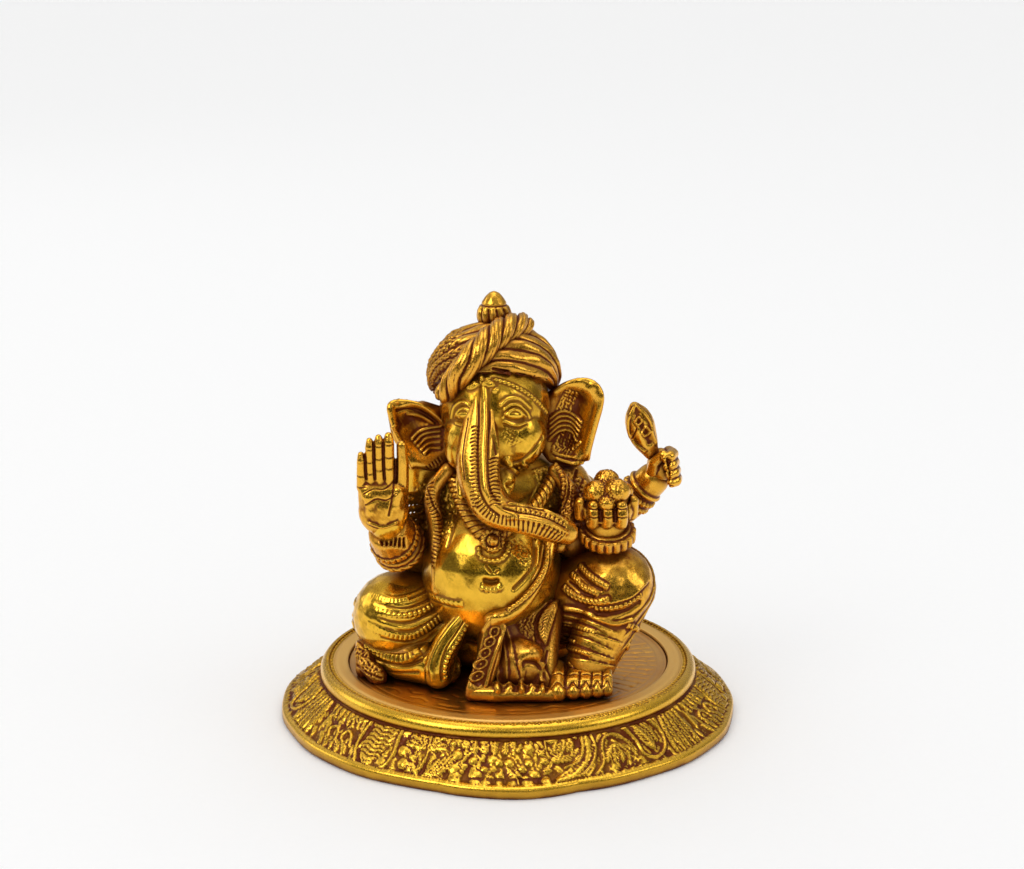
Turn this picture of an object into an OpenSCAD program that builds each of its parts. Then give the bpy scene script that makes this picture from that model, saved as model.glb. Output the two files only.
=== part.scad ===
// A cast brass figure of a seated Ganesha on a round flared plinth.
// The plinth stands on z = 0 with its centre on the z axis, and the figure faces -Y.
// The figure is cast in pieces, each seated against its neighbours, and two screws
// from below hold it through the plinth and the engraved floor disc.

/* [Plinth] */
// Diameter of the plinth across its lower rim
plinth_d = 114; // [104:1:130]
// Height of the plinth's flat top ring above the table
plinth_h = 13.6; // [12:0.2:18]
// Thickness of the plinth's cast wall
wall = 2; // [1.4:0.1:3]
// Height of the plain lower rim
rim_h = 3; // [2:0.2:4]
// How far the front and back lobes stand out past the rim
lobe_out = 1.8; // [0.6:0.2:3]
// Width of the front and back lobes
lobe_w = 38; // [26:1:50]
// Outer diameter of the flat ring round the floor disc
ring_d = 90; // [88:1:94]
// Radius of the rounded shoulder under the flat ring
shoulder_r = 2.2; // [1.2:0.2:3]

/* [Floor disc] */
// Diameter of the engraved floor disc
disc_d = 80; // [78:1:84]
// Thickness of the floor disc
disc_t = 1.2; // [0.8:0.1:1.8]
// How far the ring stands above the disc
disc_recess = 0.6; // [0.2:0.1:1]

/* [Fasteners] */
// Shank diameter of the hold-down screws
screw_d = 4; // [3:0.5:5]
// Length of the screw under its head
screw_l = 12; // [10:1:16]
// Distance between the two screws
screw_gap = 26; // [20:1:30]
// Thickness of each washer
washer_t = 0.8; // [0.5:0.1:1.2]
// Outer diameter of each washer
washer_d = 9; // [8:0.5:11]

/* [Figure] */
// Height of the figure from the floor disc to the tip of the finial
figure_h = 93.7; // [84:1:100]
// Radius of the round belly across the figure
belly_r = 17.5; // [15:0.5:19]
// Radius of the bent knee on the floor
knee_r = 11.3; // [10:0.2:13]
// Radius of the raised knee
raised_knee_r = 10.2; // [9:0.2:12]
// Radius of the upper arms
arm_r = 6.6; // [5:0.2:8]
// Radius of the wrists
wrist_r = 4.6; // [3.6:0.2:5.4]
// Radius of one finger of the raised palm
finger_r = 1.5; // [1.3:0.1:1.7]
// Radius of the trunk at its middle
trunk_r = 5; // [4:0.2:6]
// Thickness of the ears
ear_t = 3.4; // [2.6:0.2:4.4]
// Half width of the turban
turban_r = 16.2; // [15:0.2:18]
// Thickness of the twisted turban band
twist_r = 2.7; // [2:0.1:3.2]
// Half width of the turban finial
finial_r = 3.8; // [3:0.1:4.6]
// Radius of the cord-like sash
sash_r = 1.9; // [1.4:0.1:2.4]

/* [Hidden] */
// Facets of a large rounded form, and of a small one
round_fn = 20;
small_fn = 14;
brass = "goldenrod";
dark_brass = "darkgoldenrod";
steel = "silver";
// Play round the screws and round the disc's edge
play = 0.2;
plinth_r = plinth_d / 2;
ring_r = ring_d / 2;
disc_r = disc_d / 2;
disc_z = plinth_h - disc_recess;
web_z = disc_z - disc_t;
web_under = web_z - wall;
head_h = 2.4;
head_d = screw_d * 1.8;
// The figure's own frame has its origin at the middle of the disc's top, at design height,
// and what lies on the belly is placed for the design radius and moves out with it.
design_h = 93.7;
design_belly_r = 17.5;
k = figure_h / design_h;

// Landmarks that neighbouring pieces share, in the figure's frame.
belly = [-4, -7, 25.5];
chest = [-3, 1, 44];
hips = [-3, 5, 8];
knee_rt = [-27.3, -7, 14];
knee_lt = [26, -11, 23.3];
ankle_lt = [20.2, -18.8, 6];
shoulder_rt = [-15.5, 1, 46];
elbow_rt = [-22, -2, 29.5];
cuff_rt = [-27.2, -11, 34.8];
wrist_rt = [-29.3, -15, 41];
shoulder_lt = [14, 1, 45.5];
elbow_lt = [23.5, -1, 31.5];
cuff_lt = [24.3, -11.5, 36];
wrist_lt = [24, -13, 39.5];
elbow_rear = [25.5, 8, 35.5];
wrist_rear = [36, 4, 46];
skull = [-3.2, -2, 66.5];
turban_mid = [-3.5, 3, 73.3];
crown = [-3.4, 5, 84];

module at_seat() { translate([0, 0, disc_z]) scale(k) children(); }

// A run of tapering rounded limbs through points [x, y, z, radius].
module chain(points, fn = round_fn) {
  for (i = [0:len(points) - 2])
    hull() {
      ball(points[i], points[i][3], fn);
      ball(points[i + 1], points[i + 1][3], fn);
    }
}
module ball(centre, r, fn = round_fn) {
  translate([centre[0], centre[1], centre[2]]) sphere(r = r, $fn = fn);
}
module egg(centre, radii, fn = round_fn) { translate(centre) scale(radii) sphere(r = 1, $fn = fn); }
function with_r(p, r) = [p[0], p[1], p[2], r];
function on_belly(p) =
  let (out = ([p[0], p[1], p[2]] - belly) * belly_r / design_belly_r)
  with_r(belly + out, p[3]);
// Joins children into one closed mesh with its own size kept.
module casting() {
  at_seat() resize([0, 0, 0]) difference() {
    children(0);
    children([1:$children - 1]);
    floor_below();
  }
}
module floor_below() { translate([-60, -60, -40]) cube([120, 120, 40]); }

// ---------- plinth ----------
function shoulder_arc(steps = 6) =
  [for (i = [0:steps]) let (a = 90 - 90 * i / steps)
    [ring_r + shoulder_r * cos(a), plinth_h - shoulder_r + shoulder_r * sin(a)]];
module plinth_profile() {
  skirt_top = plinth_h - shoulder_r - 1;
  polygon(concat(
    [[0, web_under], [0, web_z], [disc_r + play, web_z], [disc_r + play, plinth_h]],
    shoulder_arc(),
    [[ring_r + shoulder_r, skirt_top], [plinth_r - 1.2, rim_h], [plinth_r, rim_h - 0.6],
      [plinth_r, 0.5], [plinth_r - 0.5, 0], [plinth_r - wall - 1, 0],
      [plinth_r - wall - 1.2, rim_h - 0.6], [ring_r + shoulder_r - wall, web_under]]));
}
module lobe(side) {
  lobe_r = lobe_w * 0.9;
  intersection() {
    translate([0, side * (plinth_r + lobe_out - lobe_r), 0]) cylinder(r = lobe_r, h = rim_h - 0.6, $fn = 96);
    translate([-lobe_w / 2, side > 0 ? plinth_r - wall - 1 : -plinth_r - lobe_out - 1, 0])
      cube([lobe_w, lobe_out + wall + 2, rim_h - 0.6]);
  }
}
module plinth() {
  color(brass) difference() {
    union() {
      rotate_extrude($fn = 144) plinth_profile();
      for (side = [-1, 1]) difference() {
        lobe(side);
        translate([0, 0, -1]) cylinder(r = plinth_r - wall - 1, h = rim_h + 2, $fn = 144);
      }
    }
    at_screws() translate([0, 0, web_under - 1]) cylinder(d = screw_d + 2 * play, h = wall + 2, $fn = 48);
  }
}
module floor_disc() {
  color(dark_brass) translate([0, 0, web_z]) difference() {
    cylinder(r = disc_r, h = disc_t, $fn = 144);
    at_screws() translate([0, 0, -1]) cylinder(d = screw_d + 2 * play, h = disc_t + 2, $fn = 48);
  }
}

// ---------- fasteners ----------
module at_screws() { for (side = [-1, 1]) translate([side * screw_gap / 2 - 2, 4, 0]) children(); }
module hold_down_screws() {
  color(steel) at_screws() translate([0, 0, web_under - washer_t]) difference() {
    union() {
      cylinder(d = screw_d, h = screw_l, $fn = 48);
      translate([0, 0, -head_h]) cylinder(d = head_d, h = head_h, $fn = 48);
    }
    translate([-head_d, -0.5, -head_h - 1]) cube([2 * head_d, 1, 2]);
  }
}
module hold_down_washers() {
  color(steel) at_screws() translate([0, 0, web_under - washer_t]) difference() {
    cylinder(d = washer_d, h = washer_t, $fn = 48);
    translate([0, 0, -1]) cylinder(d = screw_d + 2 * play, h = washer_t + 2, $fn = 48);
  }
}
// The screws' threaded holes, in the figure's frame. The polygon stays outside the shank.
module screw_holes() {
  hole_r = screw_d / 2 / cos(180 / 24) + 0.05;
  scale(1 / k) at_screws() translate([0, 0, -1]) cylinder(r = hole_r, h = screw_l, $fn = 24);
}

// ---------- body ----------
module torso_form() {
  egg(belly, [belly_r, belly_r, belly_r + 0.8]);
  egg(chest, [18.5, 11.5, 12]);
  egg(hips, [24, 17, 12]);
  egg([-3, 6, 28], [18, 12.5, 21]);
  egg([6, 2, 33], [12.5, 10, 12]);
}
module torso() {
  color(brass) casting() {
    torso_form();
    screw_holes();
  }
}

module right_leg_form() {
  chain([[-8, 1, 12, knee_r], with_r(knee_rt, knee_r)]);
  egg([-26, -7.5, 5], [10.4, 9, 6.6]);
  chain([[-26, -12.5, 5, 5.6], [-19, -17, 4.6, 5.2], [-12, -18, 4.2, 4.6]], small_fn);
}
module right_leg() {
  color(brass) casting() {
    right_leg_form();
    union() {
      torso_form();
      screw_holes();
    }
  }
}

module left_leg_form() {
  chain([[6, 0, 12, knee_r], with_r(knee_lt, raised_knee_r), [24.2, -13.6, 15.6, 7.9],
      with_r(ankle_lt, 5.9)]);
}
module left_leg() {
  color(brass) casting() {
    left_leg_form();
    union() {
      torso_form();
      screw_holes();
    }
  }
}

toe_x = [12.4, 16.1, 19.2, 22, 24.4];
toe_r = [2.3, 1.9, 1.8, 1.7, 1.5];
module left_foot_form() {
  hull() {
    ball([21, -18, 3.6], 4.4, small_fn);
    ball([15, -26, 2.8], 2.6, small_fn);
    ball([23, -26, 2.6], 2.4, small_fn);
  }
  for (i = [0:4]) chain([[toe_x[i], -25, 2.8, toe_r[i]],
      [toe_x[i] - 0.4, -28.6 + 0.35 * i, 1.6, toe_r[i]]], small_fn);
}
module left_foot() {
  color(brass) casting() {
    left_foot_form();
    left_leg_form();
  }
}

// ---------- cloth ----------
module lap_drape_form() {
  hull() {
    ball(on_belly([-3, -17, 17, 0]), 4, small_fn);
    ball(on_belly([9, -15, 17, 0]), 4.5, small_fn);
    ball([-6, -25.5, 2], 2.4, small_fn);
    ball([9, -25.5, 2], 2.4, small_fn);
  }
}
module lap_drape() {
  color(brass) casting() {
    lap_drape_form();
    union() {
      torso_form();
      right_leg_form();
      left_leg_form();
      left_foot_form();
    }
  }
}

module hem_fold_form() {
  chain([[-8, -28, 1.6, 2.2], [-3, -29.2, 2, 2.4], [2, -28.8, 1.8, 2.2], [7, -29.2, 2, 2.2],
      [10.4, -29, 1.4, 1.8]], small_fn);
}
module hem_fold() {
  color(brass) casting() {
    hem_fold_form();
    union() {
      lap_drape_form();
      left_foot_form();
    }
  }
}

// The apron's two edges joined across, a stretch at a time.
module apron_panel_form() {
  rows = [on_belly([-3, -24.4, 18.4, 0.8]), on_belly([-4.6, -26.6, 10, 1.2]), [-7, -28.6, 3, 1.5],
      [-7.2, -28.8, 1.2, 1.5]];
  for (i = [0:2])
    hull() for (j = [i, i + 1], s = [-1, 1])
      ball([rows[j][0] + s * rows[j][3], rows[j][1], rows[j][2]], 1.7, small_fn);
}
module apron_panel() {
  color(brass) casting() {
    apron_panel_form();
    union() {
      torso_form();
      lap_drape_form();
      hem_fold_form();
    }
  }
}

module dhoti_fold_form() {
  chain([on_belly([-11, -18.6, 17.6, 2]), on_belly([-15, -20.4, 11.4, 2.5]),
      [-17.2, -21.4, 5, 2.7], [-17.4, -21.6, 2, 2.4]], small_fn);
}
module dhoti_fold() {
  color(brass) casting() {
    dhoti_fold_form();
    union() {
      torso_form();
      right_leg_form();
      lap_drape_form();
      apron_panel_form();
    }
  }
}

module sash_tail_form() {
  chain([[-35.4, -10.5, 7, 2.4], [-34.4, -14, 3.4, 2.2], [-31.6, -17, 0.8, 2.6]], small_fn);
  chain([[-35.4, -10.5, 7, 2.4], [-35.6, -11.6, 1.2, 2.2]], small_fn);
}
module sash_tail() {
  color(brass) casting() {
    sash_tail_form();
    right_leg_form();
  }
}

module waist_sash_form() {
  points = [[10.4, -13.6, 36, sash_r], [8.4, -18.6, 29.5, sash_r], [3, -22.6, 22, sash_r],
      [-3.4, -23.6, 18.6, sash_r + 0.6]];
  chain([for (p = points) on_belly(p)], small_fn);
}
module waist_sash() {
  color(brass) casting() {
    waist_sash_form();
    union() {
      torso_form();
      left_leg_form();
      apron_panel_form();
      lap_drape_form();
    }
  }
}

// ---------- right arm, palm raised ----------
module right_arm_form() {
  chain([with_r(shoulder_rt, arm_r - 0.2), [-17.4, 1.5, 40, arm_r - 2],
      [-18.4, 1, 35, arm_r - 1.8], with_r(elbow_rt, arm_r - 0.4),
      with_r(cuff_rt, wrist_r + 0.2), with_r(wrist_rt, wrist_r)]);
}
module right_arm() {
  color(brass) casting() {
    right_arm_form();
    union() {
      torso_form();
      right_leg_form();
    }
  }
}

module ring_on(centre, tilt, outer, h) {
  translate(centre) rotate(tilt) cylinder(r = outer, h = h, center = true, $fn = 28);
}
right_tilt = [42, -30, 0];
module right_bangles_form() {
  ring_on([cuff_rt[0] + 0.6, cuff_rt[1] + 0.8, cuff_rt[2] - 1.4], right_tilt, wrist_r + 1.5, 3);
  ring_on([cuff_rt[0] - 0.6, cuff_rt[1] - 1.6, cuff_rt[2] + 1.2], right_tilt, wrist_r + 1, 3);
}
module right_bangles() {
  color(brass) casting() {
    right_bangles_form();
    union() {
      right_arm_form();
      torso_form();
      right_leg_form();
    }
  }
}

// Little, ring, middle and first finger, then the thumb beside the palm
finger_x = [-35.3, -33, -31.1, -28.5];
finger_top = [58.9, 62, 62.2, 63.2];
finger_thin = [0.2, 0.3, 0.2, -0.1];
module right_hand_form() {
  hull() {
    translate([-30, -16, 42.5]) scale([1.35, 0.85, 1]) sphere(r = 4.6, $fn = small_fn);
    ball([-34.2, -16.6, 50], 2.4, small_fn);
    ball([-26, -16.6, 50], 2.4, small_fn);
  }
  for (i = [0:3])
    chain([[finger_x[i] + 0.2, -16.6, 50, finger_r],
        [finger_x[i], -16.8, finger_top[i], finger_r - finger_thin[i]]], small_fn);
  chain([[-26.4, -15.6, 44, 2.4], [-25.4, -16, 52, 1.7], [-25.4, -16.4, 60.4, 1.3]], small_fn);
}
module right_hand() {
  color(brass) casting() {
    right_hand_form();
    union() {
      right_arm_form();
      right_bangles_form();
    }
  }
}

// ---------- left arms ----------
module left_front_arm_form() {
  chain([with_r(shoulder_lt, arm_r - 0.2), [18.6, 1, 38, arm_r - 0.6],
      with_r(elbow_lt, arm_r - 0.6), with_r(cuff_lt, wrist_r + 0.4),
      with_r(wrist_lt, wrist_r - 0.2)]);
}
module left_front_arm() {
  color(brass) casting() {
    left_front_arm_form();
    union() {
      torso_form();
      left_leg_form();
    }
  }
}
left_tilt = [18, 0, 0];
module left_cuff_form() {
  ring_on([cuff_lt[0], cuff_lt[1] - 0.6, cuff_lt[2] + 1], left_tilt, wrist_r + 1.7, 3.6);
}
module left_cuff() {
  color(brass) casting() {
    resize([0, 0, 0]) left_cuff_form();
    union() {
      left_front_arm_form();
      left_leg_form();
      torso_form();
    }
  }
}

module sweets_form() {
  egg([24.2, -12.6, 47], [5.6, 5.4, 4.8], small_fn);
}
module sweets() {
  color(brass) casting() {
    resize([0, 0, 0]) sweets_form();
    union() {
      left_front_arm_form();
      left_cuff_form();
    }
  }
}
module sweet_hand_form() {
  egg([24, -13, 43.2], [6.6, 5.8, 4.3], small_fn);
  for (x = [20.5, 23.9, 27.3])
    chain([[x, -17.3, 41.4, 1.75], [x + 0.3, -18.1, 45.2, 1.7],
        [x + 0.2, -16.4, 48.3, 1.45]], small_fn);
  chain([[17.7, -13.2, 42.1, 1.9], [17.4, -14.5, 46.7, 1.65]], small_fn);
  chain([[30.1, -12.8, 42.2, 1.8], [30.7, -13.3, 48.2, 1.55]], small_fn);
}
module sweet_hand() {
  color(brass) casting() {
    sweet_hand_form();
    union() {
      left_front_arm_form();
      left_cuff_form();
      sweets_form();
    }
  }
}

module left_rear_arm_form() {
  chain([[14, 6, 43.5, arm_r - 0.6], with_r(elbow_rear, wrist_r + 0.6),
      [32, 5.6, 41.4, wrist_r], with_r(wrist_rear, wrist_r - 0.4)]);
}
module left_rear_arm() {
  color(brass) casting() {
    left_rear_arm_form();
    union() {
      torso_form();
      left_front_arm_form();
      left_leg_form();
    }
  }
}
module left_rear_hand_form() {
  egg([38.7, 2.4, 50.4], [4.4, 4.2, 5], small_fn);
  for (i = [0:2]) chain([[41.4, 1.6, 47.6 + 2.4 * i, 1.5], [40.2, -2, 47.2 + 2.5 * i, 1.4]], small_fn);
  chain([[35.8, 1.2, 50, 1.6], [37.6, -1.6, 53.6, 1.3]], small_fn);
}
module left_rear_hand() {
  color(brass) casting() {
    left_rear_hand_form();
    left_rear_arm_form();
  }
}
module lotus_bud_form() {
  chain([[35.4, 1.8, 53.6, 1.9], [33.3, 2, 57.8, 3.1], [32.2, 2, 61.4, 3.1],
      [31.3, 2, 64.6, 1.4]], small_fn);
}
module lotus_bud() {
  color(brass) casting() {
    lotus_bud_form();
    left_rear_hand_form();
  }
}

// ---------- head ----------
module head_form() {
  egg(skull, [13.6, 13.5, 14]);
  egg([-4.4, -7.4, 60], [11.4, 9, 9.5]);
  chain([[-2, -9, 53, 4.6], [-0.6, -14.6, 49.6, 2.4]], small_fn);
}
module head() {
  color(brass) casting() {
    resize([0, 0, 0]) head_form();
    torso_form();
  }
}

module trunk_form() {
  chain([[-6, -12.6, 76, trunk_r - 1], [-6.2, -15.6, 69, trunk_r], [-6, -18.6, 60, trunk_r + 0.2],
      [-5.2, -21.5, 51.5, trunk_r - 0.2],
      [-2.6, -24, 46.4, trunk_r - 0.8], [4, -25.6, 44.4, trunk_r - 1.7],
          [9.5, -25, 42.8, trunk_r - 1.3], [13.8, -22.8, 40.6, trunk_r - 1.9]], 16);
}
module trunk() {
  color(brass) casting() {
    trunk_form();
    union() {
      head_form();
      torso_form();
      sweet_hand_form();
      sweets_form();
    }
  }
}

module right_tusk_form() {
  chain([[-9.6, -12, 56.4, 1.9], [-11, -17.4, 52.6, 1.6], [-11.2, -20.4, 49, 1]], small_fn);
}
module right_tusk() {
  color(brass) casting() {
    right_tusk_form();
    union() {
      head_form();
      trunk_form();
    }
  }
}
module left_tusk_form() {
  chain([[0, -13, 56, 1.9], [1.8, -17.4, 53.6, 1.6], [2.2, -18.6, 52.8, 1.5]], small_fn);
}
module left_tusk() {
  color(brass) casting() {
    left_tusk_form();
    union() {
      head_form();
      trunk_form();
    }
  }
}

// An ear is a thick leaf through its edge points.
module leaf(points, t) { hull() for (p = points) ball(p, t / 2, small_fn); }
module right_ear_form() {
  leaf([[-13, 0, 63], [-21, -1.4, 66], [-27.8, -3, 65.8]], ear_t);
  leaf([[-13, 0, 63], [-27.8, -3, 65.8], [-27, -4, 60], [-13, -1, 55]], ear_t);
  leaf([[-13, -1, 55], [-27, -4, 60], [-23, -4.6, 53], [-17, -3, 51.5]], ear_t);
}
module right_ear() {
  color(brass) casting() {
    right_ear_form();
    union() {
      head_form();
      torso_form();
      turban_form();
      right_arm_form();
    }
  }
}
module left_ear_form() {
  leaf([[8, 1, 66], [13, 0, 69.6], [19.2, -1, 70.8], [21.4, -1.6, 68.6], [21.6, -1.6, 66.4]], ear_t);
  leaf([[8, 1, 66], [21.6, -1.6, 66.4], [19.4, -2, 58.5], [8, 0, 57]], ear_t);
  leaf([[8, 0, 57], [19.4, -2, 58.5], [18.2, -2.4, 52.8], [11, -2, 53.4]], ear_t);
}
module left_ear() {
  color(brass) casting() {
    left_ear_form();
    union() {
      head_form();
      torso_form();
      turban_form();
      left_front_arm_form();
    }
  }
}

// ---------- turban ----------
module turban_form() {
  difference() {
    union() {
      egg(turban_mid, [turban_r, turban_r - 0.2, 13.2]);
      egg([turban_mid[0], turban_mid[1] - 1, 68], [turban_r - 1, turban_r - 1, 10]);
    }
    // Its lower edge climbs towards the forehead.
    translate([0, 0, 70]) rotate([-29, 0, 0]) translate([-40, -40, -60]) cube([80, 80, 60]);
  }
}
module turban() {
  color(brass) casting() {
    turban_form();
    union() {
      head_form();
      trunk_form();
    }
  }
}
module turban_twist_form() {
  chain([[-15, -8.6, 71.4, twist_r - 0.6], [-11, -10.2, 77.2, twist_r - 0.1],
      [-7, -8.7, 81.4, twist_r + 0.1],
      [-3, -5.3, 84.2, twist_r + 0.1], [0.4, -1.6, 85.4, twist_r],
          [3.2, 2.4, 85, twist_r - 0.3]], small_fn);
}
module turban_twist() {
  color(brass) casting() {
    turban_twist_form();
    union() {
      head_form();
      turban_form();
      trunk_form();
    }
  }
}
module finial_form() {
  translate(crown) rotate_extrude($fn = 28) polygon([[0, -2], [2.6, -2], [3, 0],
      [finial_r - 0.3, 1.4], [finial_r, 3], [finial_r - 0.3, 4.6],
    [finial_r - 1.1, 6.4], [finial_r - 2, 7.8], [finial_r - 2.9, 9.1], [0.4, design_h - crown[2]],
        [0, design_h - crown[2]]]);
}
module finial() {
  color(brass) casting() {
    resize([0, 0, 0]) finial_form();
    union() {
      turban_form();
      turban_twist_form();
    }
  }
}

// ---------- jewels and scarves ----------
module necklace_form() {
  chain([[-14, -6, 50.5, 1.5], [-11.6, -12, 46, 1.7], [-8.6, -16.4, 41, 1.7],
      [-4.3, -19.4, 38.4, 1.9], [1, -17.6, 40.8, 1.6], [7.4, -12.4, 45, 1.5],
      [11, -6.4, 49.5, 1.5]], small_fn);
  egg([-3.8, -20.8, 37.6], [2.8, 2, 3], small_fn);
}
module necklace() {
  color(brass) casting() {
    necklace_form();
    union() {
      torso_form();
      trunk_form();
      head_form();
      right_tusk_form();
    }
  }
}

module right_scarf_form() {
  chain([[-14.6, -8, 52, 1.8], [-18.4, -8.4, 46, 2], [-17.6, -11.4, 38, 2], [-16.8, -15, 30, 2],
      [-17, -16.4, 24, 1.8]], small_fn);
}
module right_scarf() {
  color(brass) casting() {
    right_scarf_form();
    union() {
      torso_form();
      right_arm_form();
      right_leg_form();
      right_bangles_form();
      necklace_form();
    }
  }
}
module left_scarf_form() {
  chain([[11.4, -7, 51.4, 1.8], [15, -8.6, 46, 2.2], [14.6, -10.4, 40, 2.2],
      [12.6, -12.6, 34, 2]], small_fn);
}
module left_scarf() {
  color(brass) casting() {
    left_scarf_form();
    union() {
      torso_form();
      left_front_arm_form();
      left_leg_form();
      waist_sash_form();
      trunk_form();
      sweet_hand_form();
      necklace_form();
    }
  }
}

plinth();
floor_disc();
hold_down_screws();
hold_down_washers();
torso();
right_leg();
left_leg();
left_foot();
lap_drape();
hem_fold();
apron_panel();
dhoti_fold();
sash_tail();
waist_sash();
right_arm();
right_bangles();
right_hand();
left_front_arm();
left_cuff();
sweet_hand();
sweets();
left_rear_arm();
left_rear_hand();
lotus_bud();
head();
trunk();
right_tusk();
left_tusk();
right_ear();
left_ear();
turban();
turban_twist();
finial();
necklace();
right_scarf();
left_scarf();
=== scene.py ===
"""A seated Ganesha cast in brass and gilded, on a round plinth with a frieze of leaves.

The figure is worked in its own millimetres: x to the viewer's right, y away from the viewer,
z up from the engraved floor disc. Surface work is drawn on from the front view as points
(across, up), which fall on the piece down a slant of 17 degrees, and from the other sides
as points seen squarely from there.
"""

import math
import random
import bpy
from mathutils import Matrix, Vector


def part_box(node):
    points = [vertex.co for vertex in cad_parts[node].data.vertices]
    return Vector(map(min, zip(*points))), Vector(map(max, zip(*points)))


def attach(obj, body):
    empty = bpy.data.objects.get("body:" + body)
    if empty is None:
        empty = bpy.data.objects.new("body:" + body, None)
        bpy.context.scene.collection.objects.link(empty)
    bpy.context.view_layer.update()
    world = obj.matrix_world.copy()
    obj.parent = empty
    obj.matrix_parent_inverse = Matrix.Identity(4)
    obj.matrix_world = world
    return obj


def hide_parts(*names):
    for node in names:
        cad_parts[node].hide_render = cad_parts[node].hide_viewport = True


bl_info = {
    "name": "Gilded Ganesha on a leaf plinth",
    "version": (1, 0, 0),
    "blender": (4, 5, 0),
    "location": "3D View > Sidebar > Ganesha",
    "description": "The cast pieces, their chased ornament and their gilt finish",
    "category": "Object",
}

import bmesh
import bpy
import numpy as np
from mathutils import Matrix, Vector
from mathutils.bvhtree import BVHTree

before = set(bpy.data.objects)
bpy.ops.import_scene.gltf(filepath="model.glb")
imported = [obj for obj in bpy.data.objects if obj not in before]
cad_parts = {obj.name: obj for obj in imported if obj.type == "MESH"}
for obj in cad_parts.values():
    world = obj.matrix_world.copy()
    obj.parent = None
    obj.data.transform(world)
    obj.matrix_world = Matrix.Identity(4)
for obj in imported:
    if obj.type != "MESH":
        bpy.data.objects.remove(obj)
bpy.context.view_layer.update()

MM = 0.001
# The figure stands on the floor disc; its millimetres stretch with the figure's height.
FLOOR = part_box("floor_disc")[1].z
DESIGN_HEIGHT = 93.7
FIGURE_MM = (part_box("finial")[1].z - FLOOR) / DESIGN_HEIGHT
# Rise of a front-view point for each millimetre that the surface lies nearer.
SLANT = math.tan(math.radians(17))
COARSE = 1.0


# ---------- points, lines and patterns ----------


def curve_through(points, step=0.3):
    """A smooth line through points, as rows spaced step apart."""
    p = np.asarray(points, float)
    if len(p) > 2:
        # A Catmull-Rom curve, with its first and last stretches carried on past the ends.
        padded = np.vstack([2 * p[0] - p[1], p, 2 * p[-1] - p[-2]])
        t = np.linspace(0, 1, 14, endpoint=False)[:, None]
        rows = []
        for a, b, c, d in zip(padded, padded[1:], padded[2:], padded[3:]):
            rows.append(0.5 * (2 * b + (c - a) * t + (2 * a - 5 * b + 4 * c - d) * t**2
                               + (3 * b - a - 3 * c + d) * t**3))
        p = np.vstack(rows + [p[-1:]])
    run = np.r_[0, np.cumsum(np.linalg.norm(np.diff(p, axis=0), axis=1))]
    count = max(2, int(run[-1] / step) + 1)
    at = np.linspace(0, run[-1], count)
    return np.stack([np.interp(at, run, p[:, i]) for i in range(p.shape[1])], 1)


def smoothstep(x, low, high):
    """0 below low, 1 above high and a soft rise between them."""
    t = np.clip((x - low) / (high - low), 0, 1)
    return t * t * (3 - 2 * t)


def pebbles(p, size):
    """Uneven rounded bumps about size apart, from -1 to 1."""
    q = np.asarray(p) * (2 * math.pi / size)
    swung = 1.7 * np.sin(0.37 * q[:, [1, 2, 0]] + 0.9)
    bent = q + swung + 0.8 * np.sin(0.71 * q[:, [2, 0, 1]] + 2.1)
    return np.sin(bent[:, 0]) * np.sin(bent[:, 1] + 1.3) + 0.5 * np.sin(bent[:, 2] + bent[:, 0])


def comb(s, pitch):
    """Rounded teeth along s, 0 in the gaps and 1 on the teeth."""
    return np.abs(np.sin(math.pi * s / pitch))


def mark_height(kind, s, d, length, width, pitch, where):
    """Height from 0 to 1 of one kind of tool mark, s along its line and d to its left."""
    half = width / 2
    across = np.abs(d) / half
    bell = np.exp(-1.6 * across**2)
    inside = 1 - smoothstep(across, 0.75, 1.1)
    pitch = pitch or width
    if kind in ("groove", "ridge"):
        return bell
    if kind == "lip":
        # A cloth edge: it stands up sharply on its left and dies away.
        return smoothstep(d, -0.18, 0.12) * np.exp(-np.maximum(d, 0) / half)
    if kind == "beads":
        round_off = 1 - ((s % pitch - pitch / 2) / (pitch / 2)) ** 2 - across**2
        return np.sqrt(np.clip(round_off, 0, 1))
    if kind == "rope":
        return inside * np.sqrt(np.clip(1 - 0.8 * across**2, 0, 1)) * (
            0.45 + 0.55 * comb(s + 0.9 * d, pitch))
    if kind == "band":
        return inside
    if kind == "teeth":
        return inside * (0.35 + 0.65 * comb(s, pitch))
    if kind == "hatch":
        return inside * (1 - comb(s, pitch)) ** 2
    if kind == "stipple":
        return inside * (0.5 + 0.5 * np.clip(pebbles(where, pitch), -1, 1))
    if kind == "leaf":
        # A pointed leaf with a rib and slanting veins.
        body = np.sin(math.pi * np.clip(s / length, 0, 1)) ** 0.7 + 1e-3
        rim = np.abs(d) / (half * body)
        veins = 0.22 * comb(s - 1.1 * np.abs(d), pitch) + 0.25 * np.exp(-(d / (0.1 * width)) ** 2)
        return (1 - smoothstep(rim, 0.8, 1.05)) * (0.62 + veins)
    raise ValueError(kind)


# The kinds that go into the surface; the others stand on it.
CUTS = ("groove", "hatch")
# A line seen from a side: its two axes, where its points start from, and the way they fall.
VIEWS = {
    "front": ((1, 0, 0), (0, 0, 1), (0, -90, 90 * SLANT), (0, 1, -SLANT)),
    "back": ((1, 0, 0), (0, 0, 1), (0, 90, 0), (0, -1, 0)),
    "left": ((0, 1, 0), (0, 0, 1), (90, 0, 0), (-1, 0, 0)),
    "right": ((0, 1, 0), (0, 0, 1), (-90, 0, 0), (1, 0, 0)),
}


# ---------- clay: one cast piece while it is worked ----------


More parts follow.
